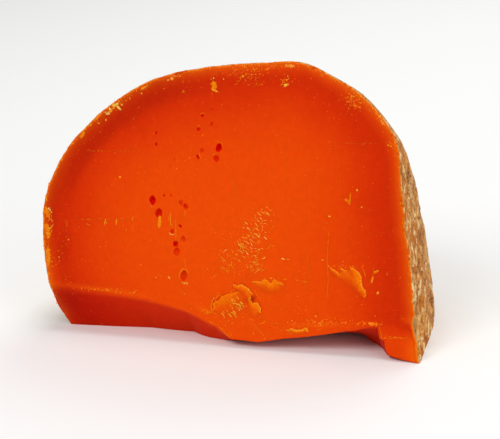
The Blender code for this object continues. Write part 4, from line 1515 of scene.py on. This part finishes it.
def make_paste():
    g = Graph("paste")
    where = g.add("TexCoord", "Object")
    rim = g.attribute("rim_mm")
    drift = g.math("SUBTRACT", g.noise(where, *DRIFT_NOISE), 0.5)
    drift = g.times(g.times(drift, g.between(rim, 0.0, DRIFT_FULL_AT)), DRIFT)
    inside = g.math("DIVIDE", g.math("ADD", rim, drift), PASTE_SPAN)
    colour = g.ramp(inside, PASTE_AND_RIM_HIGHLIGHT_STOPS, PASTE_SPAN)
    # Painted shade on the underside: a darker red tint, by the under attribute
    under = g.between(g.attribute("under"), *BORDER_STEP)
    colour = g.mix(under, colour, UNDER_SHADE_TINT, "MULTIPLY")
    # Painted shade in the eyes and cracks, by the deep attribute
    colour = g.mix(g.attribute("deep"), colour, HOLLOW_SHADE_COLOUR)
    crumbled = g.between(g.attribute("crumbled"), *BORDER_STEP)
    colour = g.mix(crumbled, colour, CRUMBLED_COLOUR)
    tone = g.attribute("tone")
    for start, full, other in TONE_COLOURS:
        colour = g.mix(g.between(tone, start, full), colour, other)
    thick = g.times(g.attribute("speckle"), SPOTS_BY_SPECKLE)
    spots = g.math("ADD", g.noise(where, *SPOT_NOISE), thick)
    spots = g.between(spots, *SPOT_STEP)
    pale = g.between(g.noise(where, *PALE_SPOT_NOISE), *PALE_SPOT_STEP)
    colour = g.mix(spots, colour, g.mix(pale, SPOT_ORANGE, SPOT_PALE))
    mottle = g.ramp(g.noise(where, *MOTTLE_NOISE), MOTTLE_STOPS)
    colour = g.mix(1.0, colour, mottle, "MULTIPLY")
    fine = g.noise(where, *PASTE_NOISE)
    return g.finish(
        height=g.math("ADD", g.times(fine, PASTE_GRAIN), spots),
        strength=0.4,
        distance=0.0002,
        Base_Color=colour,
        Roughness=g.between(fine, *PASTE_ROUGHNESS),
        Subsurface_Weight=0.25,
        Subsurface_Radius=(1.0, 0.22, 0.05),
        Subsurface_Scale=0.0035,
        Specular_IOR_Level=0.03,
    )


def make_rind():
    g = Graph("rind")
    where = g.add("TexCoord", "Object")
    stretched = g.add("Mapping", inputs={"Vector": where, "Scale": STRETCHED})
    across = g.add("Mapping", inputs={"Vector": where, "Scale": STRETCHED_ACROSS})
    pit = g.attribute("pit")
    broad = g.noise(stretched, *BROAD_NOISE)
    streaks = g.noise(stretched, *STREAK_NOISE)
    fine = g.noise(across, *RIND_NOISE)
    colour = g.ramp(broad, RIND_STOPS)
    pale = g.between(g.noise(stretched, *PALE_NOISE), *PALE_STEP)
    colour = g.mix(pale, colour, RIND_PALE)
    cream = g.times(g.between(streaks, *CREAM_STEP), g.between(pit, *CREAM_BY_PIT))
    colour = g.mix(cream, colour, RIND_CREAM)
    golden = g.between(g.noise(across, *GOLDEN_NOISE), *GOLDEN_STEP)
    colour = g.mix(golden, colour, RIND_GOLDEN)
    brown = g.between(streaks, *BROWN_STEP)
    colour = g.mix(brown, colour, RIND_BROWN)
    dusty = g.times(g.attribute("dusty"), DUST_SHARE)
    colour = g.mix(dusty, colour, g.ramp(broad, DUST_STOPS))
    colour = g.mix(g.between(pit, *PIT_STEP), colour, PIT_COLOUR)
    cells = g.add("TexVoronoi", "Distance", {"Vector": across, "Scale": PORES_PER_METRE})
    pores = g.times(g.between(cells, *PORE_STEP), g.between(fine, *PORES_BY_GRAIN))
    colour = g.mix(g.times(pores, PORE_SHARE), colour, PORE_COLOUR)
    height = g.math("ADD", streaks, g.times(fine, RIND_GRAIN))
    return g.finish(
        height=g.math("SUBTRACT", height, g.times(pores, PORE_DEPTH)),
        strength=0.6,
        distance=0.0005,
        Base_Color=colour,
        Roughness=0.85,
        Specular_IOR_Level=0.15,
    )


# Floor, light and camera

FLOOR_REACH = 4.0
FLOOR_COLOUR = (0.86, 0.86, 0.85, 1.0)
# Lamps: place, diameter in metres and strength; they all shine on the same place
LAMPS = {
    "key": ((-0.35, -0.75, 0.80), 0.55, 4.7),
    "fill": ((0.70, -0.60, 0.45), 0.80, 2.3),
    "back": ((0.20, 0.80, 0.80), 0.80, 4.0),
    "top": ((0.0, 0.15, 1.20), 0.60, 4.0),
}
LAMP_TARGET = Vector((0.0, -0.02, 0.05))
SKY_STRENGTH = 0.40
CAMERA_AZIMUTH = math.radians(12.7)
CAMERA_ELEVATION = math.radians(18.0)
CAMERA_DISTANCE = 0.7528
CAMERA_LENS = 135.0
CAMERA_WIDTH = 36.0
CAMERA_NEAR = 0.01
CAMERA_TARGET = Vector((0.0078, -0.0374, 0.05094))


def make_floor():
    bm = bmesh.new()
    bmesh.ops.create_grid(bm, x_segments=1, y_segments=1, size=FLOOR_REACH)
    g = Graph("floor")
    material = g.finish(Base_Color=FLOOR_COLOUR, Roughness=0.8, Specular_IOR_Level=0.1)
    new_mesh_object("floor", bm, [material])


def make_lights():
    for name, (place, size, power) in LAMPS.items():
        light = bpy.data.lights.new(name, "AREA")
        light.shape = "DISK"
        light.size = size
        light.energy = power
        new_object(name, light, place, LAMP_TARGET - Vector(place))
    world = bpy.data.worlds.new("studio")
    world.use_nodes = True
    background = world.node_tree.nodes["Background"]
    background.inputs["Color"].default_value = (1.0, 1.0, 1.0, 1.0)
    background.inputs["Strength"].default_value = SKY_STRENGTH
    bpy.context.scene.world = world


def make_camera():
    camera = bpy.data.cameras.new("camera")
    camera.lens = CAMERA_LENS
    camera.sensor_width = CAMERA_WIDTH
    camera.sensor_fit = "HORIZONTAL"
    camera.clip_start = CAMERA_NEAR
    east, north = math.sin(CAMERA_AZIMUTH), -math.cos(CAMERA_AZIMUTH)
    flat = math.cos(CAMERA_ELEVATION)
    back = Vector((east * flat, north * flat, math.sin(CAMERA_ELEVATION)))
    place = CAMERA_TARGET + back * CAMERA_DISTANCE
    bpy.context.scene.camera = new_object("camera", camera, place, -back)


def main():
    paste = make_paste()
    cheese = make_cheese(paste, make_rind())
    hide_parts("cheese")
    pieces = [cheese]
    for name, fill in (
        ("flakes", add_flakes),
        ("knife_marks", add_knife_marks),
        ("crumbs", add_crumbs),
    ):
        pieces.append(make_small_piece(name, fill, paste))
    for piece in pieces:
        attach(piece, "root")
    make_floor()
    make_lights()
    make_camera()
    bpy.context.scene.view_settings.view_transform = "Standard"


main()
